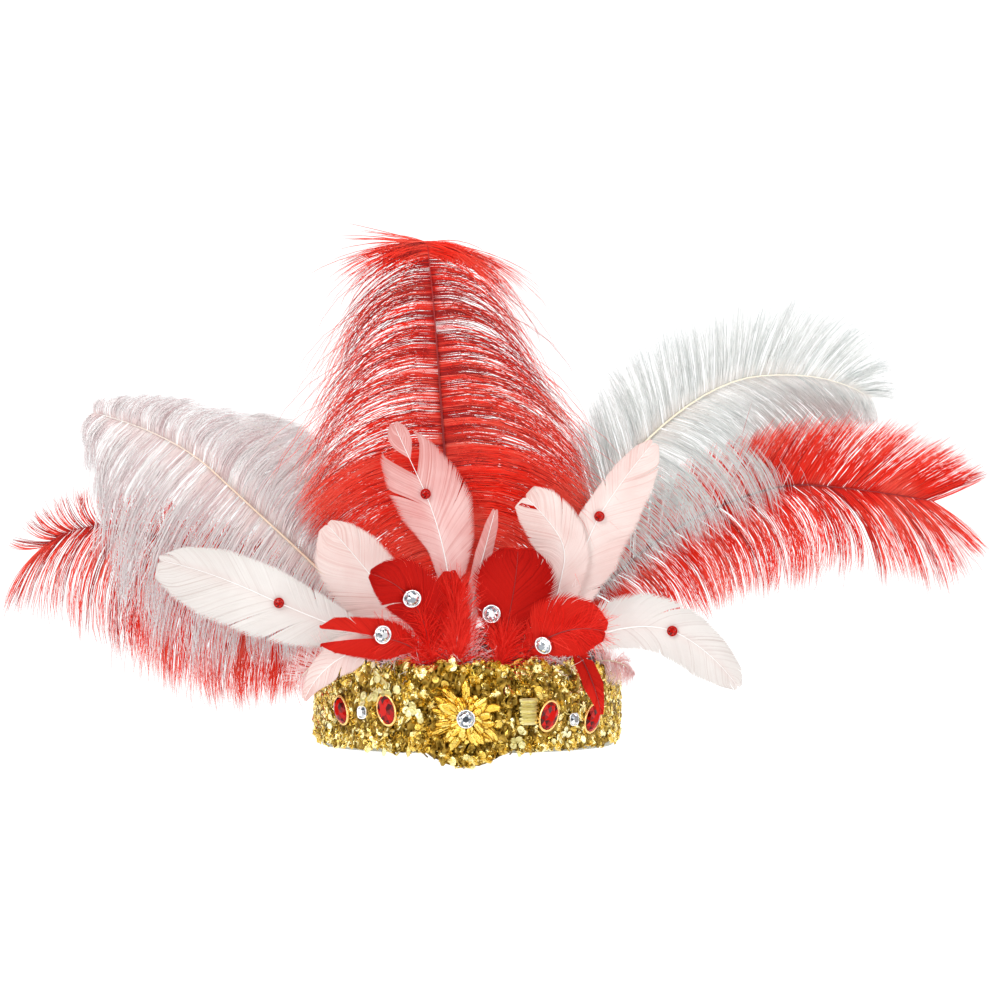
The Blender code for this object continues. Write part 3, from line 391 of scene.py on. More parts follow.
def shaftPath(feather, steps=240):
    # points along the quill, walked from its foot
    dip = feather["foot"] / 2 * math.sin(math.radians(abs(feather["turns"][0][2])))
    height = head["bandHeight"] + head["gap"] + dip + feather["rise"]
    foot = ringPoint(feather["azimuth"], feather["seat"], height)
    middle = (np.arange(steps) + 0.5) / steps
    heading = np.radians(columnAt(feather["turns"], middle, 1))
    lean = np.radians(columnAt(feather["turns"], middle, 2))
    way = np.stack([np.sin(heading) * np.cos(lean), np.sin(lean), np.cos(heading) * np.cos(lean)], axis=1)
    return np.vstack([foot, foot + np.cumsum(way, axis=0) * feather["length"] * mm / steps])


def shaftAt(points, at):
    share = np.linspace(0, 1, len(points))
    return np.stack([np.interp(at, share, points[:, axis]) for axis in range(3)], axis=-1)


def addQuill(bundle, points, base, tip, rings=36):
    at = np.linspace(0, 1, rings)
    radii = base + (tip - base) * at ** 0.8
    forward = np.array([0, -0.75 * base, 0]) * mm * np.minimum(1, at * 5)[:, None]  # the quill lies on its barbs
    line = shaftAt(points, at) + forward
    addStrands(bundle, line[None], radii[None] * mm, 0.5, slot=1, sides=8)


def barbArcs(feather, points, at, side, spread, stretch, depth, opening=0):
    # barbs that turn evenly from one heading to the other, as the model's do
    steps = feather["steps"]
    left = side < 0
    start = np.where(left, columnAt(feather["barbs"], at, 1), columnAt(feather["barbs"], at, 4))
    end = np.where(left, columnAt(feather["barbs"], at, 2), columnAt(feather["barbs"], at, 5))
    length = np.where(left, columnAt(feather["barbs"], at, 3), columnAt(feather["barbs"], at, 6)) * stretch
    middle = (np.arange(steps) + 0.5) / steps
    start = start + spread * 0.3 + opening
    end = end + spread
    heading = np.radians(start[:, None] + (end - start)[:, None] * middle)
    way = np.stack([np.sin(heading), np.zeros_like(heading), np.cos(heading)], axis=2)
    run = np.cumsum(way * (length * mm / steps)[:, None, None], axis=1)
    path = np.concatenate([np.zeros((len(at), 1, 3)), run], axis=1)
    share = np.linspace(0, 1, steps + 1)[None]
    bow = np.full(len(at), feather["bow"])
    if "bows" in feather:  # share of the shaft, bow of the left and of the right barbs
        bow = np.where(left, columnAt(feather["bows"], at, 1), columnAt(feather["bows"], at, 2))
    path[:, :, 1] += (bow * length * mm)[:, None] * share ** 1.4
    path[:, :, 1] += depth[:, None] * mm * share ** 1.3
    return path + shaftAt(points, at)[:, None]


def addFuzz(bundle, paths, tint, count, length, rng, slot=0, thick=0.09, low=0.05, high=0.96):
    # barbules: tiny pointed hairs that stand off both sides of the barbs
    strand = rng.integers(0, len(paths), count)
    share = rng.uniform(low, high, count) * (paths.shape[1] - 1)
    index = share.astype(int)
    blend = (share - index)[:, None]
    first, second = paths[strand, index], paths[strand, index + 1]
    foot = first * (1 - blend) + second * blend
    ahead = second - first
    ahead /= np.linalg.norm(ahead, axis=1, keepdims=True) + 1e-12
    turn = rng.uniform(0, 2 * math.pi, count)
    aside = np.cross(ahead, (0, -1, 0))
    back = np.array([0, 1, 0]) * rng.uniform(-0.6, 0.6, count)[:, None]
    away = aside * np.sign(np.cos(turn))[:, None] + back
    opening = np.radians(rng.uniform(20, 62, count))[:, None]
    way = ahead * np.cos(opening) + away * np.sin(opening)
    reach = (length * rng.uniform(0.45, 1.0, count) * mm)[:, None]
    path = np.stack([foot, foot + way * reach], axis=1)
    addStrands(bundle, path, np.full((count, 2), thick * mm), tint[strand], slot, facing=(0.3, -0.8, 0.5))


# what plumes and tufts share, unless their own dictionary says otherwise
plumeBasics = {
    "rise": 0, "seat": 2.3, "foot": 2.4, "quillTip": 0.22, "steps": 6,
    "scatter": 0.35, "overlap": 0.75,  # of locks and of their barbs, in spacings of the locks
    # the next keys paint light into the tint: shade and highlight lines across each lock, shade further up the shaft,
    # and light over a whole plume
    "thick": 0.32, "fine": 0.30, "lockShade": 0.3, "upperShade": 0, "glow": 0,
    "thin": 0, "thinFrom": 0.50, "thinOver": 0.3, "even": 0,
    "ragged": 0, "raggedFrom": 0.6, "raggedOver": 0.3,
    "sparse": [],  # share from, share to, side, share lost
    "brushes": [],  # share from, share to, side, barbs
    "crest": 0, "crestFrom": 0.962, "crestRisen": 0.35, "crestScatter": 3.2,
    "strayShare": 0.7, "straySpread": 1.8,
    "fuzzLength": 4.2, "fuzzThick": 0.09, "fuzzHigh": 0.96,
}


def barbRoots(plume, rng, lockAt, side, spacing):
    # the lock that each barb belongs to, and where the barb leaves the shaft
    owner = np.repeat(np.arange(len(lockAt)), plume["each"])
    number = len(owner)
    shift = rng.uniform(-plume["overlap"], plume["overlap"], number) * spacing
    at = np.clip(lockAt[owner] + shift, plume["barbs"][0][0], 1)
    thinned = plume["thin"] * np.clip((at - plume["thinFrom"]) / plume["thinOver"], 0, 1)
    keep = rng.uniform(0, 1, number) > thinned
    for low, high, sparseSide, lost in plume["sparse"]:
        spared = rng.uniform(0, 1, number) > lost
        keep &= (side[owner] != sparseSide) | (at < low) | (at > high) | spared
    owner, at = owner[keep], at[keep]
    window = plume["even"]
    if window:  # barbs leave the shaft evenly and gather further out
        for oneSide in (-1, 1):
            these = np.flatnonzero(side[owner] == oneSide)
            these = these[np.argsort(at[these])]
            padded = np.pad(at[these], window // 2, mode="edge")
            at[these] = np.convolve(padded, np.ones(window) / window, "valid")
    return owner, at


def addLoose(bundle, plume, paths, tint, flat=1.0, share=1.0):
    # barbs that belong to no lock
    taper = np.linspace(1, plume["fine"], plume["steps"] + 1)[None]
    addStrands(bundle, paths, plume["thick"] * share * mm * taper * np.ones((len(paths), 1)), tint, flat=flat)


def addCrest(bundle, plume, points, rng):
    # short barbs at the end of the shaft, some of them risen before they fall
    count = plume["crest"]
    at = rng.uniform(plume["crestFrom"], 1, count)
    side = rng.choice([-1, 1], count)
    risen = rng.uniform(0, 1, count) < plume["crestRisen"]
    paths = barbArcs(
        plume, points, at, side, np.where(side < 0, rng.uniform(-10, 40, count), rng.uniform(-12, 14, count)),
        rng.uniform(0.35, 0.95, count) * np.where(risen, 0.62, 1), rng.normal(0, plume["loft"], count),
        opening=-side * rng.uniform(4, 20, count) * risen)
    paths[..., 0] += rng.normal(0, plume["crestScatter"], count)[:, None] * mm
    addLoose(bundle, plume, paths, rng.uniform(0.3, 0.9, count), flat=0.5)


def makePlume(name, plume, materials):
    plume = {**plumeBasics, **plume}
    rng = np.random.default_rng(plume["seed"])
    bundle = newBundle()
    points = shaftPath(plume)
    addQuill(bundle, points, plume["quill"], plume["quillTip"])
    start, locks, steps = plume["barbs"][0][0], plume["locks"], plume["steps"]
    spread, loft = plume["spread"], plume["loft"]
    spacing = (1 - start) / locks
    side = np.repeat([-1, 1], locks)
    shift = rng.uniform(-plume["scatter"], plume["scatter"], 2 * locks)
    lockAt = np.clip(start + (np.tile(np.arange(locks), 2) + 0.5 + shift) * spacing, start, 1)
    lockPaths = barbArcs(
        plume, points, lockAt, side, rng.normal(0, spread, 2 * locks),
        rng.uniform(plume["shortest"], 1.06, 2 * locks), rng.normal(0, loft, 2 * locks))
    lockTint = rng.uniform(0.15, 0.85, 2 * locks)
    owner, at = barbRoots(plume, rng, lockAt, side, spacing)
    number = len(owner)
    ragged = plume["ragged"] * np.clip((at - plume["raggedFrom"]) / plume["raggedOver"], 0, 1)
    paths = barbArcs(
        plume, points, at, side[owner], rng.normal(0, spread, number),
        rng.uniform(0.72, 1.05, number) * (1 - ragged * rng.uniform(0, 1, number) ** 0.7),
        rng.normal(0, loft, number))
    share = np.linspace(0, 1, steps + 1)[None, :, None]
    pull = rng.uniform(0.25, 1.0, number)[:, None, None] * plume["clump"] * share ** 2.6
    paths = paths * (1 - pull) + lockPaths[owner] * pull
    taper = np.linspace(1, plume["fine"], steps + 1)[None]
    radii = plume["thick"] * mm * taper * rng.uniform(0.7, 1.15, number)[:, None]
    within = (at - lockAt[owner]) / (plume["overlap"] * spacing)
    # the tint paints shade and highlight: lines across each lock and a tone for each lock, shade further up the shaft
    # and light over a whole plume; each barb also differs a little at random
    tint = 0.5 + plume["lockShade"] * within + 0.5 * (lockTint[owner] - 0.5) + rng.normal(0, 0.12, number)
    tint = np.clip(tint - plume["upperShade"] * (at - 0.5) + plume["glow"], 0, 1)
    addStrands(bundle, paths, radii, tint, flat=0.5, roll=rng.uniform(-0.5, 0.5, number))
    if plume["crest"]:
        addCrest(bundle, plume, points, rng)
    for low, high, brushSide, count in plume["brushes"]:
        brushPaths = barbArcs(
            plume, points, rng.uniform(low, high, count), np.full(count, brushSide),
            rng.normal(-brushSide * 6, 5, count), rng.uniform(0.8, 1.05, count), rng.normal(-1, loft, count))
        addLoose(bundle, plume, brushPaths, rng.uniform(0.45, 0.85, count), flat=0.5)
    count, wider = plume["strays"], plume["straySpread"]
    strayAt = start + (1 - start) * rng.uniform(0, 1, count) ** 0.6
    strayPaths = barbArcs(
        plume, points, strayAt, rng.choice([-1, 1], count), rng.normal(0, spread * wider, count),
        rng.uniform(0.9, 1.18, count), rng.normal(0, loft * wider, count))
    addLoose(bundle, plume, strayPaths, rng.uniform(0, 1, count), share=plume["strayShare"])
    addFuzz(bundle, paths, tint, plume["fuzz"], plume["fuzzLength"], rng,
            thick=plume["fuzzThick"], high=plume["fuzzHigh"])
    return finishBundle(name + "_barbs", bundle, materials, [name])


# dyes, each with its painted shade (dark), painted highlight (light) and, for some, a painted glow (through)
redDyeAndShade = {"root": (0.80, 0.022, 0.014), "body": (0.98, 0.036, 0.018), "tip": (1.00, 0.070, 0.042),
          "dark": (0.36, 0.020, 0.020), "light": (1.00, 0.200, 0.140), "sheen": 0.0, "gloss": 0.05, "through": 0.035}
centreDyeAndShade = {**redDyeAndShade, "dark": (0.30, 0.022, 0.024), "through": 0.075}
# the pinker root of the white dye is painted red light from the red plumes beside it
whiteDyeAndShade = {"root": (0.90, 0.78, 0.76), "body": (0.90, 0.87, 0.87), "tip": (0.88, 0.89, 0.90),
            "dark": (0.70, 0.68, 0.69), "light": (1.0, 0.98, 0.97), "sheen": 0.2, "gloss": 0.2}
creamDyeAndShade = {"root": (0.88, 0.84, 0.80), "body": (0.84, 0.86, 0.84), "tip": (0.78, 0.82, 0.82),
            "dark": (0.70, 0.74, 0.73), "light": (0.99, 0.99, 0.98), "sheen": 0.2, "gloss": 0.2}
pinkDyeAndShade = {"root": (0.93, 0.62, 0.62), "body": (0.96, 0.86, 0.86), "tip": (0.97, 0.93, 0.93),
           "dark": (0.88, 0.66, 0.67), "light": (1.0, 0.96, 0.96), "gloss": 0.2, "sheen": 0.1, "through": 0.10}
downDyeAndShade = {"root": (0.66, 0.010, 0.006), "body": (0.74, 0.013, 0.008), "tip": (0.86, 0.030, 0.020),
           "dark": (0.46, 0.006, 0.004), "light": (0.94, 0.080, 0.055), "sheen": 0.0, "gloss": 0.04, "through": 0.08}
maroonQuill = {"root": (0.24, 0.006, 0.006), "body": (0.26, 0.004, 0.004), "tip": (0.45, 0.01, 0.01),
               "dark": (0.15, 0.01, 0.01), "light": (0.30, 0.02, 0.02)}
tanQuill = {"root": (0.90, 0.66, 0.48), "body": (0.88, 0.68, 0.52), "tip": (0.90, 0.84, 0.78),
            "dark": (0.70, 0.5, 0.38), "light": (0.95, 0.78, 0.62)}
creamQuill = {"root": (0.93, 0.84, 0.62), "body": (0.93, 0.86, 0.66), "tip": (0.95, 0.92, 0.82),
              "dark": (0.8, 0.7, 0.5), "light": (0.98, 0.93, 0.78)}
redBarbs = featherMaterial("redOstrich", redDyeAndShade)
centreBarbs = featherMaterial("centreOstrich", centreDyeAndShade)
whiteBarbs = featherMaterial("whiteOstrich", whiteDyeAndShade)
creamBarbs = featherMaterial("creamOstrich", creamDyeAndShade)
# the white plume in front of the red ones: its pinker root, body and dark are painted red light from the red plumes
# behind it
redBounceBarbs = featherMaterial("redBounceOstrich", {
    **whiteDyeAndShade, "root": (0.92, 0.74, 0.72), "body": (0.93, 0.84, 0.84), "dark": (0.76, 0.56, 0.57)})
pinkBarbs = featherMaterial("pinkMarabou", pinkDyeAndShade)
downBarbs = featherMaterial("redDown", downDyeAndShade)
roseBarbs = featherMaterial("roseMarabou", {
    **pinkDyeAndShade, "root": (0.92, 0.36, 0.35), "body": (0.95, 0.56, 0.55), "dark": (0.86, 0.34, 0.33),
    "light": (1.0, 0.80, 0.79)})
maroonShaft = featherMaterial("maroonShaft", {**maroonQuill, "roughness": 0.35})
tanShaft = featherMaterial("tanShaft", {**tanQuill, "roughness": 0.4})
creamShaft = featherMaterial("creamShaft", {**creamQuill, "roughness": 0.4})


# ostrich plumes
# turns: share of the shaft, heading (0 up, 90 to +X), lean back
# barbs: share of the shaft, then heading at the shaft, heading at the tip and length, left and right
centreRedPlume = {
    "azimuth": -1.5, "length": 272, "bow": -0.03, "quill": 1.25, "seed": 11,
    "locks": 46, "each": 34, "spread": 5, "loft": 3.5, "shortest": 0.84, "clump": 0.80,
    "crest": 260, "lockShade": 0.60, "upperShade": 1.10,
    "thin": 0.62, "ragged": 0.45, "strays": 150, "brushes": [(0.30, 0.55, -1, 480), (0.30, 0.55, 1, 400)],
    "sparse": [(0.48, 0.74, -1, 0.40)], "even": 15,
    "fuzz": 10000, "fuzzLength": 5.6, "fuzzHigh": 0.30, "fuzzThick": 0.14,
    "turns": [(0, 0, 16), (0.17, -3, 16), (0.3, -7, 13), (0.43, -5, 6), (0.57, -4, -2), (0.73, -4, -8),
              (0.87, -5, -16), (1, -6, -38)],
    "barbs": [
        (0.2, -80, -140, 11, 80, 140, 11),
        (0.3, -80, -152, 45, 78, 150, 49),
        (0.38, -80, -159, 60, 75, 160, 74),
        (0.49, -82, -147, 94, 78, 146, 103),
        (0.66, -80, -166, 112, 76, 156, 110),
        (0.81, -80, -172, 97, 76, 166, 95),
        (0.91, -84, -174, 86, 80, 168, 84),
        (0.97, -88, -160, 68, 84, 150, 70),
        (1, -86, -112, 56, 94, 132, 66),
    ],
}
leftWhitePlume = {
    "azimuth": -26, "length": 259, "bow": -0.04, "quill": 1.2, "seed": 12,
    "locks": 38, "each": 28, "spread": 6, "loft": 3.5, "shortest": 0.80, "clump": 0.92, "lockShade": 0.5,
    "strays": 40, "fuzz": 4000,
    "turns": [(0, -2, 17), (0.1, -12, 17), (0.2, -46, 15), (0.37, -46, 12), (0.5, -48, 8), (0.7, -47, 4),
              (0.8, -60, 0), (0.9, -69, -4), (1, -76, -8)],
    "barbs": [
        (0.2, -120, -160, 10, 20, 50, 8),
        (0.32, -150, -182, 45, 12, 58, 28),
        (0.45, -145, -186, 78, 10, 60, 38),
        (0.55, -140, -184, 105, 10, 74, 52),
        (0.64, -135, -182, 120, 8, 92, 57),
        (0.75, -130, -184, 112, 2, 102, 46),
        (0.86, -128, -190, 86, -8, 104, 34),
        (0.93, -122, -198, 54, -12, 98, 23),
        (1, -110, -210, 20, -24, 60, 10),
    ],
}
leftRearPlume = {
    "azimuth": -41, "length": 196, "bow": 0.05, "glow": 0.42, "quill": 0.9, "seed": 13,
    "locks": 24, "each": 28, "spread": 7, "loft": 3.0, "shortest": 0.82, "clump": 0.62,
    "strays": 20, "fuzz": 2000,
    "turns": [(0, 0, 13), (0.12, -6, 14), (0.3, -13, 20), (0.52, -20, 20), (0.62, -34, 18), (0.86, -40, 14),
              (1, -60, 8)],
    "barbs": [
        (0.34, -110, -140, 5, 15, 40, 5),
        (0.44, -105, -140, 40, 18, 50, 30),
        (0.61, -100, -136, 49, 14, 74, 33),
        (0.8, -95, -135, 46, 22, 96, 25),
        (0.93, -90, -116, 38, 34, 118, 23),
        (1, -80, -110, 22, 46, 118, 14),
    ],
}
leftRedPlume = {
    "azimuth": -34, "length": 254, "bow": 0.02, "quill": 1.1, "seed": 14,
    "locks": 36, "each": 33, "spread": 5, "loft": 3.2, "shortest": 0.82, "clump": 0.76,
    "thin": 0.55, "upperShade": 0.40, "lockShade": 0.45,
    "brushes": [(0.3, 0.7, -1, 240)], "strays": 44, "fuzz": 1500,
    "turns": [(0, -1, 16), (0.09, -8, 17), (0.18, -61, 21), (0.34, -64, 21), (0.52, -64, 13), (0.7, -67, 8),
              (0.85, -88, 4), (1, -130, 0)],
    "barbs": [
        (0.2, -140, -170, 10, -10, 10, 9),
        (0.28, -150, -176, 50, -20, 20, 29),
        (0.43, -145, -190, 77, -25, 28, 33),
        (0.61, -140, -188, 84, -30, 19, 31),
        (0.79, -138, -196, 75, -40, 32, 28),
        (0.9, -132, -188, 66, -55, 0, 24),
        (1, -132, -160, 46, -105, -70, 22),
    ],
}
rightWhitePlume = {
    "azimuth": 22, "length": 318, "bow": -0.04, "quill": 1.25, "seed": 15,
    "bows": [(0.5, -0.04, -0.06), (0.64, -0.04, 0.20), (0.74, -0.04, 0.7), (1, -0.04, 0.6)],
    "locks": 46, "each": 27, "spread": 5, "loft": 3.5, "shortest": 0.84, "clump": 0.66,
    "strays": 22, "fuzz": 4000,
    "turns": [(0, -2, 17), (0.09, 4, 17), (0.18, 25, 15), (0.34, 30, 11), (0.48, 40, 6), (0.58, 47, 3),
              (0.67, 57, 0), (0.74, 69, -3), (0.8, 86, -5), (0.87, 94, -7), (1, 122, -10)],
    "barbs": [
        (0.18, -20, -10, 5, 100, 140, 5),
        (0.28, -20, -6, 40, 100, 157, 38),
        (0.41, -15, -16, 47, 100, 154, 59),
        (0.54, -10, -30, 52, 100, 170, 79),
        (0.63, -5, -18, 51, 100, 171, 91),
        (0.72, 3, -4, 47, 105, 164, 82),
        (0.77, 12, 16, 46, 110, 150, 75),
        (0.82, 18, 34, 52, 115, 140, 61),
        (0.92, 38, 58, 40, 126, 158, 37),
        (1, 90, 112, 15, 145, 180, 17),
    ],
}
rightRedPlume = {
    "azimuth": 34, "length": 297, "bow": 0.02,
    "bows": [(0.4, 0.02, 0.02), (0.55, -0.3, 0.0), (0.68, -0.8, 0.0), (1, -0.7, 0.0)],
    "thin": 0.25, "upperShade": 0.25, "brushes": [(0.62, 0.97, -1, 260)], "quill": 1.1, "seed": 16,
    "locks": 42, "each": 31, "spread": 5, "loft": 3.4, "shortest": 0.80, "clump": 0.76,
    "strays": 40, "fuzz": 1500,
    "turns": [(0, -1, 16), (0.09, 6, 17), (0.18, 44, 18), (0.33, 48, 17), (0.5, 62, 14), (0.66, 74, 11),
              (0.77, 95, 8), (0.86, 97, 4), (1, 101, 0)],
    "barbs": [
        (0.18, -10, 5, 7, 110, 150, 7),
        (0.27, -8, 8, 35, 110, 172, 41),
        (0.41, 5, 8, 43, 115, 174, 57),
        (0.59, 15, 34, 53, 120, 190, 66),
        (0.74, 25, 33, 46, 120, 196, 67),
        (0.8, 35, 39, 53, 125, 178, 69),
        (0.91, 50, 56, 48, 130, 170, 71),
        (1, 72, 60, 38, 124, 130, 46),
    ],
}
leftDown = {
    "azimuth": -41, "rise": 22, "length": 60, "bow": -0.1, "quill": 0.7, "seed": 17,
    "locks": 10, "each": 14, "spread": 24, "loft": 5, "shortest": 0.7, "clump": 0.3,
    "glow": 0.40, "thick": 0.20, "strays": 20, "fuzz": 900, "fuzzLength": 3.2,
    "turns": [(0, 0, 0), (0.13, 0, 0), (0.22, -66, -58), (0.45, -100, -20), (1, -145, -6)],
    "barbs": [
        (0.25, -120, -160, 9, 0, 30, 9),
        (0.6, -140, -175, 21, -30, -10, 19),
        (1, -170, -180, 14, -110, -90, 14),
    ],
}
rightDown = {
    "azimuth": 62, "rise": 16, "length": 34, "bow": -0.1, "quill": 0.7, "seed": 18,
    "locks": 10, "each": 14, "spread": 24, "loft": 5, "shortest": 0.7, "clump": 0.3,
    "glow": 0.40, "thick": 0.20, "strays": 20, "fuzz": 900, "fuzzLength": 3.2,
    "turns": [(0, 0, 0), (0.2, 0, 0), (0.3, 75, -20), (1, 138, -10)],
    "barbs": [
        (0.3, -30, -10, 9, 120, 165, 13),
        (0.55, 0, -20, 12, 150, 200, 16),
        (0.75, 60, 200, 6, 170, 210, 15),
        (1, 150, 200, 2, 180, 220, 4),
    ],
}
makePlume("plume_centre_red", centreRedPlume, [centreBarbs, maroonShaft])
makePlume("plume_left_white", leftWhitePlume, [redBounceBarbs, tanShaft])
makePlume("plume_left_white_rear", leftRearPlume, [whiteBarbs, creamShaft])
makePlume("plume_left_red", leftRedPlume, [redBarbs, maroonShaft])
makePlume("plume_right_white", rightWhitePlume, [creamBarbs, creamShaft])
makePlume("plume_right_red", rightRedPlume, [redBarbs, maroonShaft])
makePlume("down_left_white", leftDown, [roseBarbs, creamShaft])
makePlume("down_right_white", rightDown, [roseBarbs, creamShaft])
print("plumes made")


# goose feathers: flat barbs laid edge to edge, split here and there
whiteSatin = featherMaterial("whiteSatin", {
    "root": (0.74, 0.66, 0.63), "body": (0.75, 0.70, 0.67), "tip": (0.74, 0.70, 0.67),
    "dark": (0.60, 0.51, 0.48), "light": (0.86, 0.83, 0.80), "roughness": 0.5, "sheen": 0.0, "gloss": 0.2})
peachSatin = featherMaterial("peachSatin", {
    "root": (0.84, 0.68, 0.64), "body": (0.82, 0.62, 0.58), "tip": (0.82, 0.60, 0.56),
    "dark": (0.70, 0.42, 0.38), "light": (0.92, 0.84, 0.80), "roughness": 0.45, "sheen": 0.1, "gloss": 0.3})
pinkSatin = featherMaterial("pinkSatin", {
    "root": (0.82, 0.52, 0.50), "body": (0.76, 0.37, 0.35), "tip": (0.72, 0.31, 0.29),
    "dark": (0.64, 0.24, 0.22), "light": (0.92, 0.72, 0.69), "roughness": 0.45, "sheen": 0.1, "gloss": 0.25})
redSatin = featherMaterial("redSatin", {
    "root": (0.56, 0.010, 0.006), "body": (0.60, 0.013, 0.007), "tip": (0.58, 0.012, 0.007),
    "dark": (0.34, 0.004, 0.002), "light": (0.72, 0.030, 0.018), "roughness": 0.45, "sheen": 0.0, "gloss": 0.05})
deepSatin = featherMaterial("deepRedSatin", {
    "root": (0.46, 0.006, 0.003), "body": (0.42, 0.004, 0.002), "tip": (0.38, 0.003, 0.002),
    "dark": (0.26, 0.002, 0.001), "light": (0.56, 0.012, 0.007), "roughness": 0.40, "sheen": 0.0, "gloss": 0.05})
whiteShaft = featherMaterial("whiteShaft", {
    "root": (0.97, 0.93, 0.90), "body": (0.98, 0.96, 0.94), "tip": (0.97, 0.96, 0.95),
    "dark": (0.9, 0.86, 0.84), "light": (1, 1, 1), "roughness": 0.3, "gloss": 0.5})


# what goose feathers share, unless their own dictionary says otherwise
gooseBasics = {
    "seat": 3.3, "foot": 1.5, "quill": 0.62, "quillTip": 0.12, "quillRings": 28, "quillEnd": 1,
    "pitch": 0.62, "steps": 5, "splits": 5, "part": 2.2, "sweep": 1.15, "fade": 0.4,
    "gaps": [],  # side, share from, share to
    "fork": 0, "forkFrom": 0.45, "forkOver": 0.55,
    "fluff": 90, "fluffLength": 17, "fluffRise": 0.12, "fluffOpen": 1, "fluffSteps": 4,
}


def addFluff(bundle, goose, points, rng):
    # soft afterfeather low on the quill
    count, opening, steps = goose["fluff"], goose["fluffOpen"], goose["fluffSteps"]
    start = goose["vane"][0][0]
    at = rng.uniform(start * 0.3, start + goose["fluffRise"], count)
    heading = columnAt(goose["turns"], at, 1) + rng.choice([-1, 1], count) * rng.uniform(8, 105, count) * opening
    heading += rng.normal(0, 34, count) * (at < start)
    turn = rng.normal(0, 45 * opening, count)
    long = rng.uniform(0.45, 1.0, count) * goose["fluffLength"]
    middle = (np.arange(steps) + 0.5) / steps
    bent = np.radians(heading[:, None] + turn[:, None] * middle)
    lean = rng.uniform(-0.55, 0.15, count)[:, None] * np.ones((1, steps))
    way = np.stack([np.sin(bent), lean, np.cos(bent)], axis=2)
    run = np.cumsum(way * (long * mm / steps)[:, None, None], axis=1)
    paths = np.concatenate([np.zeros((count, 1, 3)), run], axis=1) + shaftAt(points, at)[:, None]
    tint = rng.uniform(0.2, 0.9, count)
    radii = np.linspace(0.20, 0.06, steps + 1)[None] * mm * np.ones((count, 1))
    addStrands(bundle, paths, radii, tint, slot=2, flat=0.6)
    addFuzz(bundle, paths, tint, count * 2, 3.6, rng, slot=2, thick=0.10)


def addVane(bundle, goose, points, side, column, rng):
    # one side's barbs; they part into groups, and each group leans a little off its neighbours
    start, length, steps = goose["vane"][0][0], goose["length"], goose["steps"]
    rows = int((1 - start) * length / goose["pitch"])
    share = np.linspace(0, 1, steps + 1)[None]
    at = start + (1 - start) * (np.arange(rows) + rng.uniform(0, 0.4, rows)) / rows * 0.985
    for gapSide, low, high in goose["gaps"]:
        if gapSide == side:
            at = at[(at < low) | (at > high)]
    count = len(at)
    cuts = np.sort(rng.choice(count, goose["splits"], replace=False))
    group = np.searchsorted(cuts, np.arange(count))
    lean = rng.uniform(-0.6, 1.0, len(cuts) + 1)[group] * goose["part"]
    lift = rng.uniform(-0.5, 0.5, len(cuts) + 1)[group]
    width = goose["width"] * columnAt(goose["vane"], at, column)
    sweep = (goose["sweep"] * width + lean) / length
    along = np.clip(at[:, None] + sweep[:, None] * share ** 0.9, 0, 1.0)
    half = goose["width"] * columnAt(goose["vane"], along, column) * mm
    half *= 1 + rng.normal(0, 0.007, count)[:, None]
    ahead = shaftAt(points, np.clip(along + 0.01, 0, 1)) - shaftAt(points, np.clip(along - 0.01, 0, 1))
    ahead[..., 1] = 0
    ahead /= np.linalg.norm(ahead, axis=2, keepdims=True) + 1e-12
    across = np.cross((0, -1, 0), ahead) * -1.0
    reach = side * share[..., None] * half[..., None]
    paths = shaftAt(points, along) + across * reach
    fork = goose["fork"] * np.clip((at - goose["forkFrom"]) / goose["forkOver"], 0, 1)
    paths += across * (side * fork * mm)[:, None, None]
    bend = goose["cup"] * share ** 2 * np.minimum(1, half / (goose["width"] * mm))
    paths[..., 1] += (bend + lift[:, None] * share) * mm
    paths[..., 1] += rng.normal(0, 0.10, count)[:, None] * mm * share
    radii = np.linspace(0.68, 0.52, steps + 1)[None] * mm * np.ones((count, 1))
    # the tint follows each group's lift as well, painted shade and light between the groups, besides a tone that
    # differs at random and the dye's fade along the shaft
    tint = np.clip(0.5 + rng.normal(0, 0.12, count) + 0.12 * lift + goose["fade"] * (0.5 - at), 0, 1)
    addStrands(bundle, paths, radii, tint, flat=0.11, roll=rng.normal(0, 0.03, count))


def makeGoose(name, goose, materials):
    goose = {**gooseBasics, **goose}
    rng = np.random.default_rng(goose["seed"])
    bundle = newBundle()
    points = shaftPath(goose)
    quill = points[:int(len(points) * goose["quillEnd"])]
    addQuill(bundle, quill, goose["quill"], goose["quillTip"], goose["quillRings"])
    for side, column in ((-1, 1), (1, 2)):
        addVane(bundle, goose, points, side, column, rng)
    addFluff(bundle, goose, points, rng)
    return finishBundle(name + "_vane", bundle, materials, [name], smooth=False)


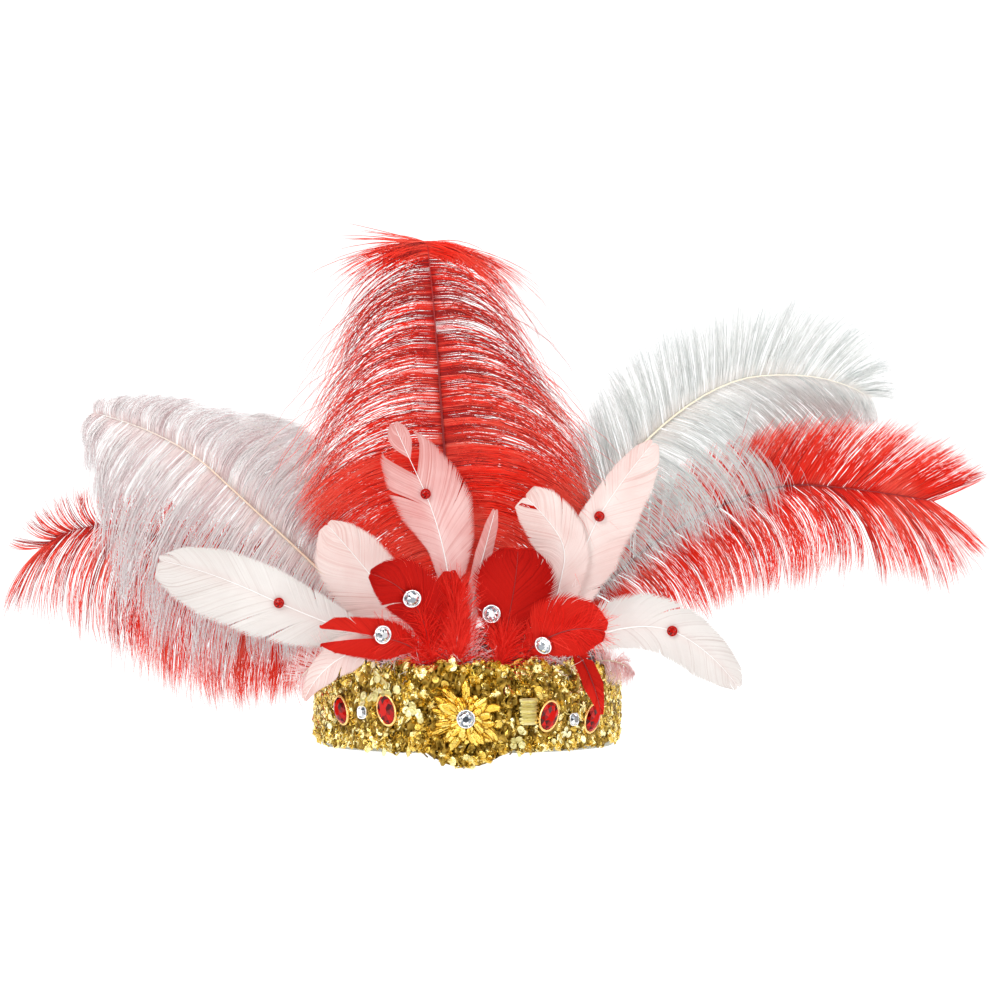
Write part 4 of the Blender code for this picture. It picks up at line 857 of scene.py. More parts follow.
# vane: share of the shaft, left and right half width as shares of width
gooseCentre = {
    "azimuth": -6, "rise": 12, "length": 156, "width": 22, "cup": 3, "fade": 1.1, "seed": 31, "splits": 6, "part": 3.0,
    "gaps": [(-1, 0.785, 0.865), (1, 0.79, 0.86)],
    "turns": [(0, 4, 12), (0.12, 4, 12), (0.26, -4, 8), (0.45, -10, 3), (0.62, -18, 0), (0.77, -25, -6),
              (1, -24, -12)],
    "vane": [(0.25, 0.1, 0.1), (0.38, 0.25, 0.35), (0.52, 0.42, 0.85), (0.66, 0.85, 1.12), (0.78, 0.9, 0.98),
             (0.9, 0.72, 0.66), (1, 0.12, 0.12)],
}
gooseLeftLower = {
    "azimuth": -29, "rise": 12, "length": 162, "width": 24, "cup": 4, "seed": 32, "splits": 6, "part": 3.0,
    "turns": [(0, 0, 8), (0.09, 0, 6), (0.15, -62, -14), (0.34, -69, -12), (0.49, -67, -8), (0.62, -65, -8),
              (0.75, -68, -8), (1, -78, -10)],
    "vane": [(0.18, 0.08, 0.08), (0.3, 0.45, 0.4), (0.45, 0.85, 0.62), (0.62, 1.05, 0.75), (0.8, 1.05, 0.68),
             (0.93, 0.8, 0.45), (1, 0.45, 0.12)],
}
gooseLeftUpper = {
    "azimuth": -16.5, "rise": 12, "length": 111, "width": 26, "cup": 3, "seed": 33, "splits": 6,
    "turns": [(0, 1, 13), (0.14, -4, 13), (0.29, -33, 9), (0.51, -38, 2), (1, -42, -2)],
    "vane": [(0.26, 0.1, 0.1), (0.4, 0.62, 0.4), (0.6, 1.05, 0.66), (0.8, 1, 0.62), (0.93, 0.7, 0.42),
             (1, 0.25, 0.15)],
}
gooseRightUpper = {
    "azimuth": 40, "rise": 12, "length": 152, "width": 22, "cup": 3, "seed": 34, "splits": 5,
    "turns": [(0, 0, 4), (0.09, 2, 2), (0.24, 11, -6), (0.42, 13, -6), (0.59, 24, -4), (0.75, 35, -4), (1, 40, -8)],
    "vane": [(0.2, 0.1, 0.1), (0.35, 0.55, 0.6), (0.5, 0.6, 1), (0.7, 0.45, 1), (0.85, 0.42, 0.8), (0.95, 0.3, 0.52),
             (1, 0.12, 0.2)],
}
gooseRightRear = {
    "azimuth": 31, "rise": 12, "length": 117, "width": 16, "cup": 1, "seed": 35, "splits": 3,
    "gaps": [(-1, 0.90, 0.94)],
    "turns": [(0, 2, 8), (0.12, 4, 6), (0.36, 15, 0), (0.6, 12, -4), (0.76, -34, -4), (1, -48, -2)],
    "vane": [(0.22, 0.12, 0.12), (0.42, 0.7, 0.7), (0.62, 1, 0.9), (0.82, 1, 1), (0.94, 0.8, 0.85), (1, 0.55, 0.5)],
}
gooseRightLower = {
    "azimuth": 47, "rise": 12, "length": 130, "width": 19, "cup": 5, "seed": 36, "splits": 7, "part": 3.5,
    "turns": [(0, 0, 4), (0.1, 0, 0), (0.19, 50, -24), (0.36, 76, -18), (0.52, 92, -12), (0.67, 120, -12),
              (1, 146, -12)],
    "vane": [(0.16, 0.1, 0.1), (0.3, 0.95, 0.55), (0.48, 1.05, 0.72), (0.66, 0.85, 0.85), (0.84, 0.62, 0.78),
             (0.95, 0.42, 0.45), (1, 0.15, 0.15)],
}
gooseSliver = {
    "azimuth": 4, "rise": 12, "length": 103, "width": 5, "cup": 1, "fade": 1.1, "seed": 37, "splits": 2, "part": 1.0,
    "turns": [(0, -8, 14), (0.14, -8, 14), (0.36, 2, 9), (0.61, 14, 2), (1, 15, -4)],
    "vane": [(0.22, 0.2, 0.2), (0.45, 0.8, 0.8), (0.75, 1, 1), (0.92, 0.7, 0.8), (1, 0.3, 0.3)],
}
gooseLeftHanging = {
    "azimuth": -25, "rise": 20, "length": 84, "width": 12, "cup": 4, "fade": 0.7, "seed": 38, "splits": 6, "part": 3.0,
    "turns": [(0, 0, 0), (0.11, 0, 0), (0.2, -76, -44), (0.42, -98, -22), (0.68, -126, -4), (1, -158, -2)],
    "vane": [(0.26, 0.15, 0.15), (0.42, 0.6, 0.8), (0.6, 0.9, 0.95), (0.82, 0.62, 0.6), (1, 0.12, 0.12)],
}
redLeftCup = {
    "azimuth": -13, "rise": 20, "length": 77, "width": 20, "cup": -5, "seed": 39, "splits": 2, "quill": 0.35,
    "fluff": 420, "fluffLength": 24, "fluffRise": 0.30, "fluffOpen": 0.6,
    "turns": [(0, -4, 2), (0.12, -6, -2), (0.33, -15, -18), (0.58, -34, -24), (0.84, -62, -30), (1, -74, -30)],
    "vane": [(0.2, 0.1, 0.1), (0.4, 0.4, 0.6), (0.6, 0.7, 1), (0.8, 0.7, 0.9), (0.93, 0.45, 0.5), (1, 0.15, 0.15)],
}
redLeftSplit = {
    "azimuth": -18.5, "rise": 20, "length": 76, "width": 13, "cup": 3, "seed": 40, "splits": 4, "part": 4.0,
    "fork": 4.5, "quillEnd": 0.5, "fluff": 320, "fluffLength": 20, "fluffRise": 0.30, "fluffOpen": 0.6,
    "turns": [(0, 0, 0), (0.12, 0, -2), (0.22, -60, -34), (0.49, -82, -30), (1, -92, -26)],
    "vane": [(0.18, 0.12, 0.12), (0.38, 0.9, 0.8), (0.55, 1.1, 0.9), (0.75, 0.9, 0.75), (0.9, 0.6, 0.6),
             (1, 0.15, 0.15)],
}
redRightCup = {
    "azimuth": 12, "rise": 20, "length": 73, "width": 24, "cup": -3,
    "seed": 41, "splits": 2, "quill": 0.3, "part": 1.5,
    "fluff": 380, "fluffLength": 22, "fluffRise": 0.12, "fluffOpen": 0.6,
    "turns": [(0, 10, 13), (0.12, 12, 13), (0.35, 12, 8), (0.63, 10, -6), (1, 2, -24)],
    "vane": [(0.15, 0.1, 0.1), (0.26, 0.46, 0.3), (0.5, 0.86, 0.9), (0.75, 1.05, 1.05), (0.92, 0.78, 0.8),
             (1, 0.4, 0.4)],
}
redRightFan = {
    "azimuth": 23.5, "rise": 20, "length": 68, "width": 20, "cup": 2, "seed": 42, "splits": 5,
    "fluff": 760, "fluffLength": 21, "fluffRise": 0.72, "fluffOpen": 0.60,
    "turns": [(0, 0, 0), (0.13, 4, -4), (0.24, 50, -52), (0.58, 68, -26), (1, 106, -20)],
    "vane": [(0.15, 0.1, 0.1), (0.28, 0.38, 0.34), (0.5, 1.1, 0.66), (0.7, 1.1, 0.8), (0.88, 0.8, 0.7), (1, 0.3, 0.3)],
}
redCentreFluff = {
    "azimuth": -4, "rise": 20, "length": 58, "width": 17, "cup": 2, "seed": 43, "splits": 5,
    "fluff": 800, "fluffRise": 0.55, "fluffLength": 25, "fluffOpen": 0.55,
    "turns": [(0, 4, 8), (0.14, 2, 7), (0.6, -6, 2), (1, -8, -2)],
    "vane": [(0.18, 0.12, 0.12), (0.32, 0.8, 0.5), (0.6, 1, 0.5), (0.86, 0.75, 0.4), (1, 0.25, 0.2)],
}
redRightSliver = {
    "azimuth": 43, "rise": 20, "length": 54, "width": 6, "cup": 1, "seed": 44, "splits": 2,
    "turns": [(0, 0, 0), (0.13, 0, 0), (0.25, 100, -46), (0.4, 152, -26), (1, 170, -2)],
    "vane": [(0.15, 0.2, 0.2), (0.4, 0.9, 0.9), (0.7, 1, 1), (1, 0.25, 0.25)],
}
whiteSet = [whiteSatin, whiteShaft, pinkBarbs]
peachSet = [peachSatin, whiteShaft, pinkBarbs]
pinkSet = [pinkSatin, whiteShaft, pinkBarbs]
redSet = [redSatin, maroonShaft, downBarbs]
deepSet = [deepSatin, maroonShaft, downBarbs]
makeGoose("goose_centre_white", gooseCentre, pinkSet)
makeGoose("goose_left_lower_white", gooseLeftLower, whiteSet)
makeGoose("goose_left_upper_white", gooseLeftUpper, peachSet)
makeGoose("goose_right_upper_white", gooseRightUpper, peachSet)
makeGoose("goose_right_rear_white", gooseRightRear, peachSet)
makeGoose("goose_right_lower_white", gooseRightLower, whiteSet)
makeGoose("goose_centre_sliver_white", gooseSliver, pinkSet)
makeGoose("goose_left_hanging_white", gooseLeftHanging, peachSet)
makeGoose("goose_red_left_cup", redLeftCup, deepSet)
makeGoose("goose_red_left_split", redLeftSplit, redSet)
makeGoose("goose_red_right_cup", redRightCup, deepSet)
makeGoose("goose_red_right_fan", redRightFan, redSet)
makeGoose("goose_red_centre_fluff", redCentreFluff, redSet)
makeGoose("goose_red_right_sliver", redRightSliver, redSet)
print("goose feathers made")


# gold trim: a braid full of curls, leaves, discs and knots
trim = {
    "height": 48, "foot": 1.5, "reach": 115, "scallop": 4.4, "scallops": 21, "seed": 51,
    "edge": [(0, 1.06, -0.20), (0.06, 1.02, -0.13), (0.12, 1, -0.02), (0.22, 1.02, 0), (0.45, 0.96, 0.02),
             (0.65, 0.86, 0.05), (0.8, 0.74, 0.1), (1, 0.66, 0.14)],
    "curls": {"count": 1750, "rim": 0.22, "clear": 0.8, "seat": (2.0, 3.6), "size": (1.6, 3.7),
              "winds": (0.8, 1.15), "thick": (0.50, 0.90)},
    "leaves": {"count": 1200, "rim": 0.25, "clear": 0.3, "seat": (2.4, 3.8), "length": (3.4, 8.6),
               "rise": (0.2, 1.3), "thick": (1.0, 2.4), "shape": [0.45, 1.0, 0.95, 0.55, 0]},
    "knots": {"count": 1000, "rim": 0.35, "clear": 0.0, "seat": (1.8, 3.4), "length": (1.4, 3.0),
              "thick": (0.55, 1.05), "shape": [0.7, 1.0, 0.8, 0]},
    "discs": {"count": 150, "rim": 0.1, "clear": 0.8, "seat": (2.8, 3.6), "thick": (1.6, 3.0),
              "shape": [1, 1, 0.72, 0]},
    "ribbons": [  # azimuth, height, ribs, length, pitch
        (23.4, 23.4, 7, 12, 2.1),
    ],
    "petals": [  # azimuth, height, leaves, spread
        (-33, 36, 13, 4.2), (-19, 25, 9, 3.6), (-40, 30, 6, 2.5), (37, 11, 8, 3), (20, 9, 7, 3), (-62, 14, 6, 4),
    ],
    "groundSteps": 300, "groundLevels": 28, "groundSeat": 2.2, "groundWall": 1.2, "crumple": 0.95,
    "stones": [  # node, half width, margin
        ("oval_left_inner_setting", 5.9, 0.4), ("oval_right_inner_setting", 5.9, 0.4),
        ("oval_left_outer_setting", 5.9, 0.4), ("oval_right_outer_setting", 5.9, 0.4),
        ("square_stone_left", 4.0, 0.5), ("square_stone_right", 4.0, 0.5),
    ],
    "stoneRadius": 90, "flowerRadius": 88, "flowerHeight": 19.8, "flowerClear": 19.0,
}
upward = np.array([0, 0, 1.0])
# gold colours: the bright is a painted highlight and the brown a painted shade, spread at random over curls, leaves,
# knots and discs
goldGimp = goldMaterial("goldGimp", {
    "bright": (1.0, 0.92, 0.48), "body": (0.72, 0.49, 0.09), "brown": (0.12, 0.062, 0.006), "roughness": 0.22})
# the braid's ground is painted far darker than the gimp: painted shade between the curls
shadedGround = goldMaterial("shadedGround", {
    "bright": (0.40, 0.25, 0.045), "body": (0.17, 0.098, 0.013), "brown": (0.04, 0.021, 0.002), "roughness": 0.32})


def trimEdges(azimuth):
    share = np.abs(azimuth) / trim["reach"]
    wave = np.abs(np.sin(np.radians(azimuth) * trim["scallops"] / 2)) - 0.5
    top = trim["height"] * columnAt(trim["edge"], share, 1) + trim["scallop"] * wave
    foot = trim["foot"] + trim["height"] * columnAt(trim["edge"], share, 2) - trim["scallop"] * wave / 2
    return foot, top


def stoneSpots():
    # where the stones lie, so that nothing of the braid covers them
    spots = []
    for name, half, margin in trim["stones"]:
        low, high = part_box(name)
        middle = (low + high) / 2
        azimuth = math.degrees(math.atan2(middle.x / head["width"], -middle.y / head["depth"]))
        tall = (high.z - low.z) / 2 / mm + margin
        spots.append((azimuth, middle.z / mm, half + margin, tall))
    return spots


def localFrame(azimuth, offset, height):
    outward = ringOutward(azimuth)
    across = np.cross((0, 0, 1), outward)
    across /= np.linalg.norm(across, axis=1, keepdims=True)
    return ringPoint(azimuth, offset, height), across, outward


def scatterOver(rng, spots, kind):
    # places over the braid, some of them along its edges, and none on a stone or the flower
    draws, clear = kind["count"] * 3, kind["clear"]
    azimuth = rng.uniform(-trim["reach"], trim["reach"], draws)
    foot, top = trimEdges(azimuth)
    share = rng.uniform(0.03, 0.97, draws)
    rim = rng.uniform(0, 1, draws) < kind["rim"]
    share = np.where(rim, rng.choice([0.05, 0.985], draws) + rng.normal(0, 0.025, draws), share)
    height = foot + (top - foot) * share
    free = np.ones(draws, bool)
    for spotAzimuth, spotHeight, wide, tall in spots:
        arc = np.radians(azimuth - spotAzimuth) * trim["stoneRadius"]
        free &= (arc / (wide + clear)) ** 2 + ((height - spotHeight) / (tall + clear)) ** 2 > 1
    arc = np.radians(azimuth) * trim["flowerRadius"]
    bound = (trim["flowerClear"] + clear) ** 2 * rng.uniform(0.6, 1.1, draws)
    free &= (arc ** 2 + (height - trim["flowerHeight"]) ** 2) > bound
    azimuth, height = azimuth[free][:kind["count"]], height[free][:kind["count"]]
    offset = head["trimSeat"] + rng.uniform(*kind["seat"], len(azimuth))
    return localFrame(azimuth, offset, height)


def leanOff(outward, amount, rng):
    lean = outward + rng.normal(0, amount, outward.shape)
    return lean / np.linalg.norm(lean, axis=1, keepdims=True)


def shapedRadii(kind, count, rng):
    return np.array(kind["shape"])[None] * rng.uniform(*kind["thick"], count)[:, None] * mm


def addCurls(bundle, kind, spots, rng):
    middle, across, outward = scatterOver(rng, spots, kind)
    count = len(middle)
    at = np.linspace(0, 1, 7)[None]
    size = rng.uniform(*kind["size"], count)[:, None] * (1 - 0.72 * at)
    first = rng.uniform(0, 2 * math.pi, count)[:, None]
    winds = rng.uniform(*kind["winds"], count)[:, None]
    turn = first + at * winds * 2 * math.pi * rng.choice([-1, 1], count)[:, None]
    tilt = rng.normal(0, 0.5, (count, 2))
    x, z = np.cos(turn) * size, np.sin(turn) * size
    y = 0.9 * at + x * tilt[:, :1] * 0.5 + z * tilt[:, 1:] * 0.5
    coil = across[:, None] * x[..., None] + upward * z[..., None] + outward[:, None] * y[..., None]
    radii = rng.uniform(*kind["thick"], count)[:, None] * mm * np.linspace(1, 0.8, 7)[None]
    addStrands(bundle, middle[:, None] + coil * mm, radii, rng.beta(1.6, 1.3, count), facing=outward)


def addLeaves(bundle, kind, spots, rng):
    middle, across, outward = scatterOver(rng, spots, kind)
    count = len(middle)
    heading = rng.uniform(0, 2 * math.pi, count)
    way = across * np.cos(heading)[:, None] + upward * np.sin(heading)[:, None]
    at = np.linspace(0, 1, 5)[None]
    run = (at - 0.5) * rng.uniform(*kind["length"], count)[:, None]
    rise = np.sin(at * math.pi) * rng.uniform(*kind["rise"], count)[:, None] - 0.4
    paths = middle[:, None] + (way[:, None] * run[..., None] + outward[:, None] * rise[..., None]) * mm
    radii = shapedRadii(kind, count, rng)
    addStrands(bundle, paths, radii, rng.beta(1.8, 1.2, count), flat=0.45, facing=outward)


def addRibbon(bundle, azimuth, height, count, long, pitch, rng):
    # a pale ribbon folded to and fro, rib over rib
    lift = (np.arange(count) - (count - 1) / 2) * pitch
    middle, across, outward = localFrame(np.full(count, float(azimuth)), head["trimSeat"] + 4.2, height + lift)
    at = np.linspace(0, 1, 8)[None]
    bow = 0.8 * np.sin(at * math.pi) + rng.uniform(-0.2, 0.2, (count, 8))
    run = (at - 0.5) * long * rng.uniform(0.9, 1.1, (count, 1))
    paths = middle[:, None] + (across[:, None] * run[..., None] + outward[:, None] * bow[..., None]) * mm
    radii = np.array([0.5, 1, 1.05, 1, 1.05, 1, 0.8, 0])[None] * pitch * 0.56 * mm * np.ones((count, 1))
    addStrands(bundle, paths, radii, rng.uniform(0.1, 0.55, count), slot=2, sides=4, flat=0.8, facing=outward)


def addPetals(bundle, azimuth, height, count, spread, rng):
    azimuth = azimuth + rng.normal(0, spread, count) * 0.64
    offset = head["trimSeat"] + rng.uniform(3.8, 4.8, count)
    middle, across, outward = localFrame(azimuth, offset, height + rng.normal(0, spread, count))
    lean = leanOff(outward, 0.3, rng)
    paths = middle[:, None] + lean[:, None] * np.array([0, 0.4, 0.8, 0.5])[None, :, None] * mm
    radii = np.array([0.9, 1, 0.75, 0])[None] * rng.uniform(1.7, 2.9, count)[:, None] * mm
    addStrands(bundle, paths, radii, rng.uniform(0.1, 0.85, count), slot=2, sides=8, facing=across)


def addKnots(bundle, kind, spots, rng):
    middle, across, outward = scatterOver(rng, spots, kind)
    count = len(middle)
    heading = rng.uniform(0, 2 * math.pi, count)
    way = across * np.cos(heading)[:, None] + upward * np.sin(heading)[:, None]
    way = way + outward * rng.uniform(-0.3, 0.9, count)[:, None]
    run = np.linspace(0, 1, 4)[None] * rng.uniform(*kind["length"], count)[:, None]
    paths = middle[:, None] + way[:, None] * run[..., None] * mm
    radii = shapedRadii(kind, count, rng)
    addStrands(bundle, paths, radii, rng.beta(1.3, 1.3, count), sides=4, facing=outward)


def addDiscs(bundle, kind, spots, rng):
    middle, across, outward = scatterOver(rng, spots, kind)
    count = len(middle)
    lean = leanOff(outward, 0.28, rng)
    at = np.array([0, 0.45, 0.85, 0.35])
    paths = middle[:, None] + lean[:, None] * at[None, :, None] * mm
    paths[:, 3] = paths[:, 2] - lean * 0.25 * mm
    radii = shapedRadii(kind, count, rng)
    addStrands(bundle, paths, radii, rng.beta(3, 1.1, count), sides=9, facing=across)


def makeTrim():
    rng = np.random.default_rng(trim["seed"])
    bundle = newBundle()
    spots = stoneSpots()
    addCurls(bundle, trim["curls"], spots, rng)
    addLeaves(bundle, trim["leaves"], spots, rng)
    for ribbon in trim["ribbons"]:
        addRibbon(bundle, *ribbon, rng)
    for petals in trim["petals"]:
        addPetals(bundle, *petals, rng)
    addKnots(bundle, trim["knots"], spots, rng)
    addDiscs(bundle, trim["discs"], spots, rng)
    return bundle


def addTrimGround(bundle):
    # the braid's ground: a crumpled sheet, with painted shade in its hollows and painted highlight on its crests
    rng = np.random.default_rng(trim["seed"] + 1)
    steps, levels = trim["groundSteps"], trim["groundLevels"]
    azimuth = np.linspace(-trim["reach"], trim["reach"], steps + 1)[None]
    foot, top = trimEdges(azimuth)
    share = np.linspace(0, 1, levels + 1)[:, None]
    azimuth = azimuth + rng.uniform(-0.25, 0.25, (levels + 1, steps + 1)) * np.sin(math.pi * share)
    height = foot + (top - foot) * share
    crumple = rng.uniform(-1, 1, height.shape)
    wave = np.sin(azimuth * 0.9 + share * 7) * np.cos(azimuth * 0.47 - share * 11)
    relief = trim["groundSeat"] + trim["crumple"] * crumple + 0.5 * wave
    form = bmesh.new()
    bmesh.ops.create_grid(form, x_segments=steps, y_segments=levels, size=1)
    mark = form.verts.layers.float.new("tint")
    spots = ringPoint(azimuth, head["trimSeat"] + relief, height).reshape(-1, 3)
    # crests get a lighter tint and hollows a darker one: painted highlight and painted shade
    for vert, spot, tint in zip(form.verts, spots, (0.5 + 0.5 * crumple).ravel()):
        vert.co = spot
        vert[mark] = tint
    bmesh.ops.recalc_face_normals(form, faces=form.faces[:])
    bmesh.ops.solidify(form, geom=form.faces[:], thickness=trim["groundWall"] * mm)
    bmesh.ops.recalc_face_normals(form, faces=form.faces[:])
    bmesh.ops.triangulate(form, faces=form.faces[:])
    form.verts.index_update()
    verts = np.array([vert.co for vert in form.verts])
    faces = np.array([[vert.index for vert in face.verts] for face in form.faces])
    bundle["tint"].append(np.array([vert[mark] for vert in form.verts]))
    form.free()
    bundle["verts"].append(verts)
    bundle["faces"].append(faces + bundle["count"])
    bundle["along"].append(np.zeros(len(verts)))
    bundle["slot"].append(np.full(len(faces), 1))
    bundle["count"] += len(verts)


# pale gold for ribbon and petals, its bright a painted highlight and its brown a painted shade
paleGold = goldMaterial("paleGold", {
    "bright": (1.0, 0.97, 0.70), "body": (0.82, 0.74, 0.36), "brown": (0.40, 0.33, 0.10), "roughness": 0.30})
trimBundle = makeTrim()
addTrimGround(trimBundle)
finishBundle("gold_trim_braid", trimBundle, [goldGimp, shadedGround, paleGold], ["gold_trim"], smooth=False)
print("gold trim made")


# flower in the middle of the trim
flower = {
    "height": 19.8, "seat": 8.5, "seed": 61,
    "rings": [  # petals, inner radius, outer radius, half width, lift
        (16, 6.0, 22.0, 2.5, 0.4),
        (13, 5.0, 17.5, 2.4, 1.7),
        (11, 4.5, 12.5, 2.1, 2.9),
    ],
}
# flower gold, its bright a painted highlight and its brown a painted shade, by petal
flowerGold = goldMaterial("flowerGold", {
    "bright": (0.98, 0.76, 0.20), "body": (0.82, 0.50, 0.065), "brown": (0.42, 0.22, 0.025), "roughness": 0.26})


def makeFlower():
    rng = np.random.default_rng(flower["seed"])
    bundle = newBundle()
    at = np.linspace(0, 1, 7)[None]
    for petals, inner, outer, half, lift in flower["rings"]:
        turn = (np.arange(petals) + rng.uniform(-0.35, 0.35, petals)) / petals * 2 * math.pi
        reach = inner + (outer * rng.uniform(0.68, 1.06, petals)[:, None] - inner) * at
        curl = rng.normal(0, 0.16, petals)[:, None] * at ** 2
        for shift, share in ((-0.5, 0.8), (0.0, 1.0), (0.5, 0.8)):
            side = shift * half * np.sin(at * math.pi) ** 0.6
            x = reach * share ** 0.2 * np.cos(turn[:, None] + curl) - side * np.sin(turn)[:, None]
            z = reach * share ** 0.2 * np.sin(turn[:, None] + curl) + side * np.cos(turn)[:, None]
            azimuth = np.degrees(np.arcsin(x / (head["width"] / 2 + flower["seat"])))
            ridge = rng.uniform(0.6, 2.0, petals)[:, None] * np.sin(at * math.pi * 0.8) * (1 if shift == 0 else 0.6)
            rise = lift + ridge - 0.6 * at + rng.normal(0, 0.28, (petals, 7))
            paths = ringPoint(azimuth, flower["seat"] + rise, flower["height"] + z)
            radii = half * 0.55 * np.array([0.5, 0.8, 1.0, 1.1, 1.2, 1.2, 0])[None] * np.ones((petals, 1)) * mm
            addStrands(bundle, paths, radii, rng.beta(2.2, 1.4, petals), flat=0.5, sides=4)
    disc = np.array([0, 0.6, 1.1, 2.4, 1.6]) * mm
    middle = ringPoint(0, flower["seat"], flower["height"])
    paths = (middle + np.outer(disc, (0, -1, 0)))[None]
    radii = np.array([[13, 12, 10, 5, 0]]) * mm
    addStrands(bundle, paths, radii, 0.3, sides=28, facing=(1, 0, 0))
    return finishBundle("centre_flower_petals", bundle, [flowerGold], ["centre_flower"])


makeFlower()
print("flower made")


# stones
def stoneSeat(name):
    # the flat back of a stone's node gives its place and the way that it looks
    mesh = nodes[name].data
    sums = {}
    for face in mesh.polygons:
        key = tuple(round(value, 1) for value in face.normal)
        area, spot = sums.get(key, (0.0, Vector()))
        sums[key] = (area + face.area, spot + face.center * face.area)
    backs = [item for item in sums.items() if item[0][1] > 0.3]
    key, (area, spot) = max(backs, key=lambda item: item[1][0])
    outward = -Vector(key).normalized()
    across = Vector((0, 0, 1)).cross(outward).normalized()
    rise = outward.cross(across).normalized()
    return Matrix.Translation(spot / area) @ Matrix((across, rise, outward)).transposed().to_4x4()


def facetMaterial(name, dark, light, values):
    material, tree, shader = newMaterial(name, values)
    tint = mapRange(tree, readAttribute(tree, "tint"), 0.1, 0.9)
    colour = mixColour(tree, tint, (*dark, 1), (*light, 1))
    tree.links.new(colour, shader.inputs["Base Color"])
    return material


silverRim = facetMaterial("silverRim", (0.55, 0.56, 0.58), (0.95, 0.95, 0.96), {"Metallic": 1.0, "Roughness": 0.22})
goldRim = facetMaterial("goldRim", (0.80, 0.40, 0.10), (0.98, 0.66, 0.25), {"Metallic": 1.0, "Roughness": 0.25})
# the stones' facets take a random tint between dark and light: painted reflections in the cut
crystal = facetMaterial("crystal", (0.16, 0.19, 0.23), (1.0, 1.0, 1.0), {
    "Metallic": 0.75, "Roughness": 0.06, "Coat Weight": 1.0, "Coat Roughness": 0.03})
ruby = facetMaterial("ruby", (0.07, 0.001, 0.001), (0.62, 0.007, 0.003), {
    "Roughness": 0.08, "Coat Weight": 0.0, "Specular IOR Level": 0.22})


def makeStone(name, stone, materials, replaced, seat):
    # a cup spun from its profile and a stone cut in rows of facets
    rng = np.random.default_rng(stone["seed"])
    sides = stone["sides"]
    form = bmesh.new()
    profile = [(0.0, 0.02), (0.96, 0.0), (1.0, 0.10), (1.0, stone["rim"]), (0.93, stone["rim"] + 0.06),
               (0.84, stone["rim"]), (0.82, stone["rim"] - 0.12), (0.0, stone["rim"] - 0.14)]
    chain = [form.verts.new((x, 0, z)) for x, z in profile]
    edges = [form.edges.new(pair) for pair in zip(chain, chain[1:])]
    bmesh.ops.spin(form, geom=chain + edges, cent=(0, 0, 0), axis=(0, 0, 1), angle=2 * math.pi,
                   steps=sides * 2, use_merge=True)
    bmesh.ops.remove_doubles(form, verts=form.verts, dist=1e-5)
    rimFaces = set(form.faces)
    loops = []
    for index, (x, z) in enumerate(stone["cut"]):
        made = bmesh.ops.create_circle(form, segments=sides, radius=x)["verts"]
        bmesh.ops.translate(form, verts=made, vec=(0, 0, z))
        if index % 2:
            bmesh.ops.rotate(form, verts=made, cent=(0, 0, 0), matrix=Matrix.Rotation(math.pi / sides, 3, "Z"))
        loops.append(made)
    for low, high in zip(loops, loops[1:]):
        lowEdges = [edge for edge in form.edges if edge.verts[0] in low and edge.verts[1] in low]
        highEdges = [edge for edge in form.edges if edge.verts[0] in high and edge.verts[1] in high]
        bmesh.ops.bridge_loops(form, edges=lowEdges + highEdges)
    bmesh.ops.contextual_create(form, geom=loops[0])
    bmesh.ops.contextual_create(form, geom=loops[-1])
    gems = [face for face in form.faces if face not in rimFaces and len(face.verts) == 4]
    bmesh.ops.triangulate(form, faces=gems)
    bmesh.ops.recalc_face_normals(form, faces=form.faces[:])
    for vert in form.verts:
        if stone.get("square"):
            turn = math.atan2(vert.co.y, vert.co.x)
            vert.co.xy *= 1 - stone["square"] * math.cos(4 * turn)
        vert.co.x *= stone["width"] / 2 * mm
        vert.co.y *= stone["height"] / 2 * mm
        vert.co.z *= stone["depth"] * mm
    bmesh.ops.transform(form, matrix=seat, verts=form.verts)
    mesh = bpy.data.meshes.new(name)
    form.faces.ensure_lookup_table()
    gemFlags = [face not in rimFaces for face in form.faces]
    form.to_mesh(mesh)
    form.free()
    mesh.polygons.foreach_set("material_index", np.array(gemFlags, np.int32))
    mesh.polygons.foreach_set("use_smooth", np.array([not gem for gem in gemFlags]))
    # each gem facet gets a random tint, painted reflection; the rim gets one fixed tint
    tint = mesh.attributes.new("tint", "FLOAT", "FACE")
    values = np.where(gemFlags, rng.beta(0.7, 0.7, len(gemFlags)), 0.7)
    tint.data.foreach_set("value", values.astype(np.float32))
    for material in materials:
        mesh.materials.append(material)
    return finishPiece(bpy.data.objects.new(name, mesh), replaced)


clearStone = {"width": 10.5, "height": 10.5, "depth": 4.4, "rim": 0.5, "sides": 12, "seed": 71,
              "cut": [(0.80, 0.34), (0.80, 0.52), (0.60, 0.80), (0.34, 0.98)]}
squareStone = {"width": 8, "height": 8, "depth": 3.4, "rim": 0.5, "sides": 8, "square": 0.08, "seed": 72,
               "cut": [(0.80, 0.34), (0.80, 0.55), (0.48, 0.95)]}
smallRed = {"width": 6, "height": 6, "depth": 2.6, "rim": 0.34, "sides": 12, "seed": 73,
            "cut": [(0.82, 0.2), (0.82, 0.45), (0.62, 0.8), (0.34, 1.0)]}
ovalRed = {"width": 13.2, "height": 19.2, "depth": 4.6, "rim": 0.42, "sides": 11, "seed": 74,
           "cut": [(0.86, 0.25), (0.86, 0.46), (0.66, 0.82), (0.34, 1.0)]}
for index, name in enumerate(("centre_stone", "clear_stone_left", "clear_stone_left_low", "clear_stone_centre",
                              "clear_stone_right")):
    makeStone(name + "_cut", {**clearStone, "seed": 71 + index}, [silverRim, crystal], [name],
              stoneSeat(name))
for name in ("square_stone_left", "square_stone_right"):
    makeStone(name + "_cut", squareStone, [silverRim, crystal], [name], stoneSeat(name))
for name in ("red_stone_centre", "red_stone_left", "red_stone_right_high", "red_stone_right"):
    makeStone(name + "_cut", smallRed, [ruby, ruby], [name], stoneSeat(name))
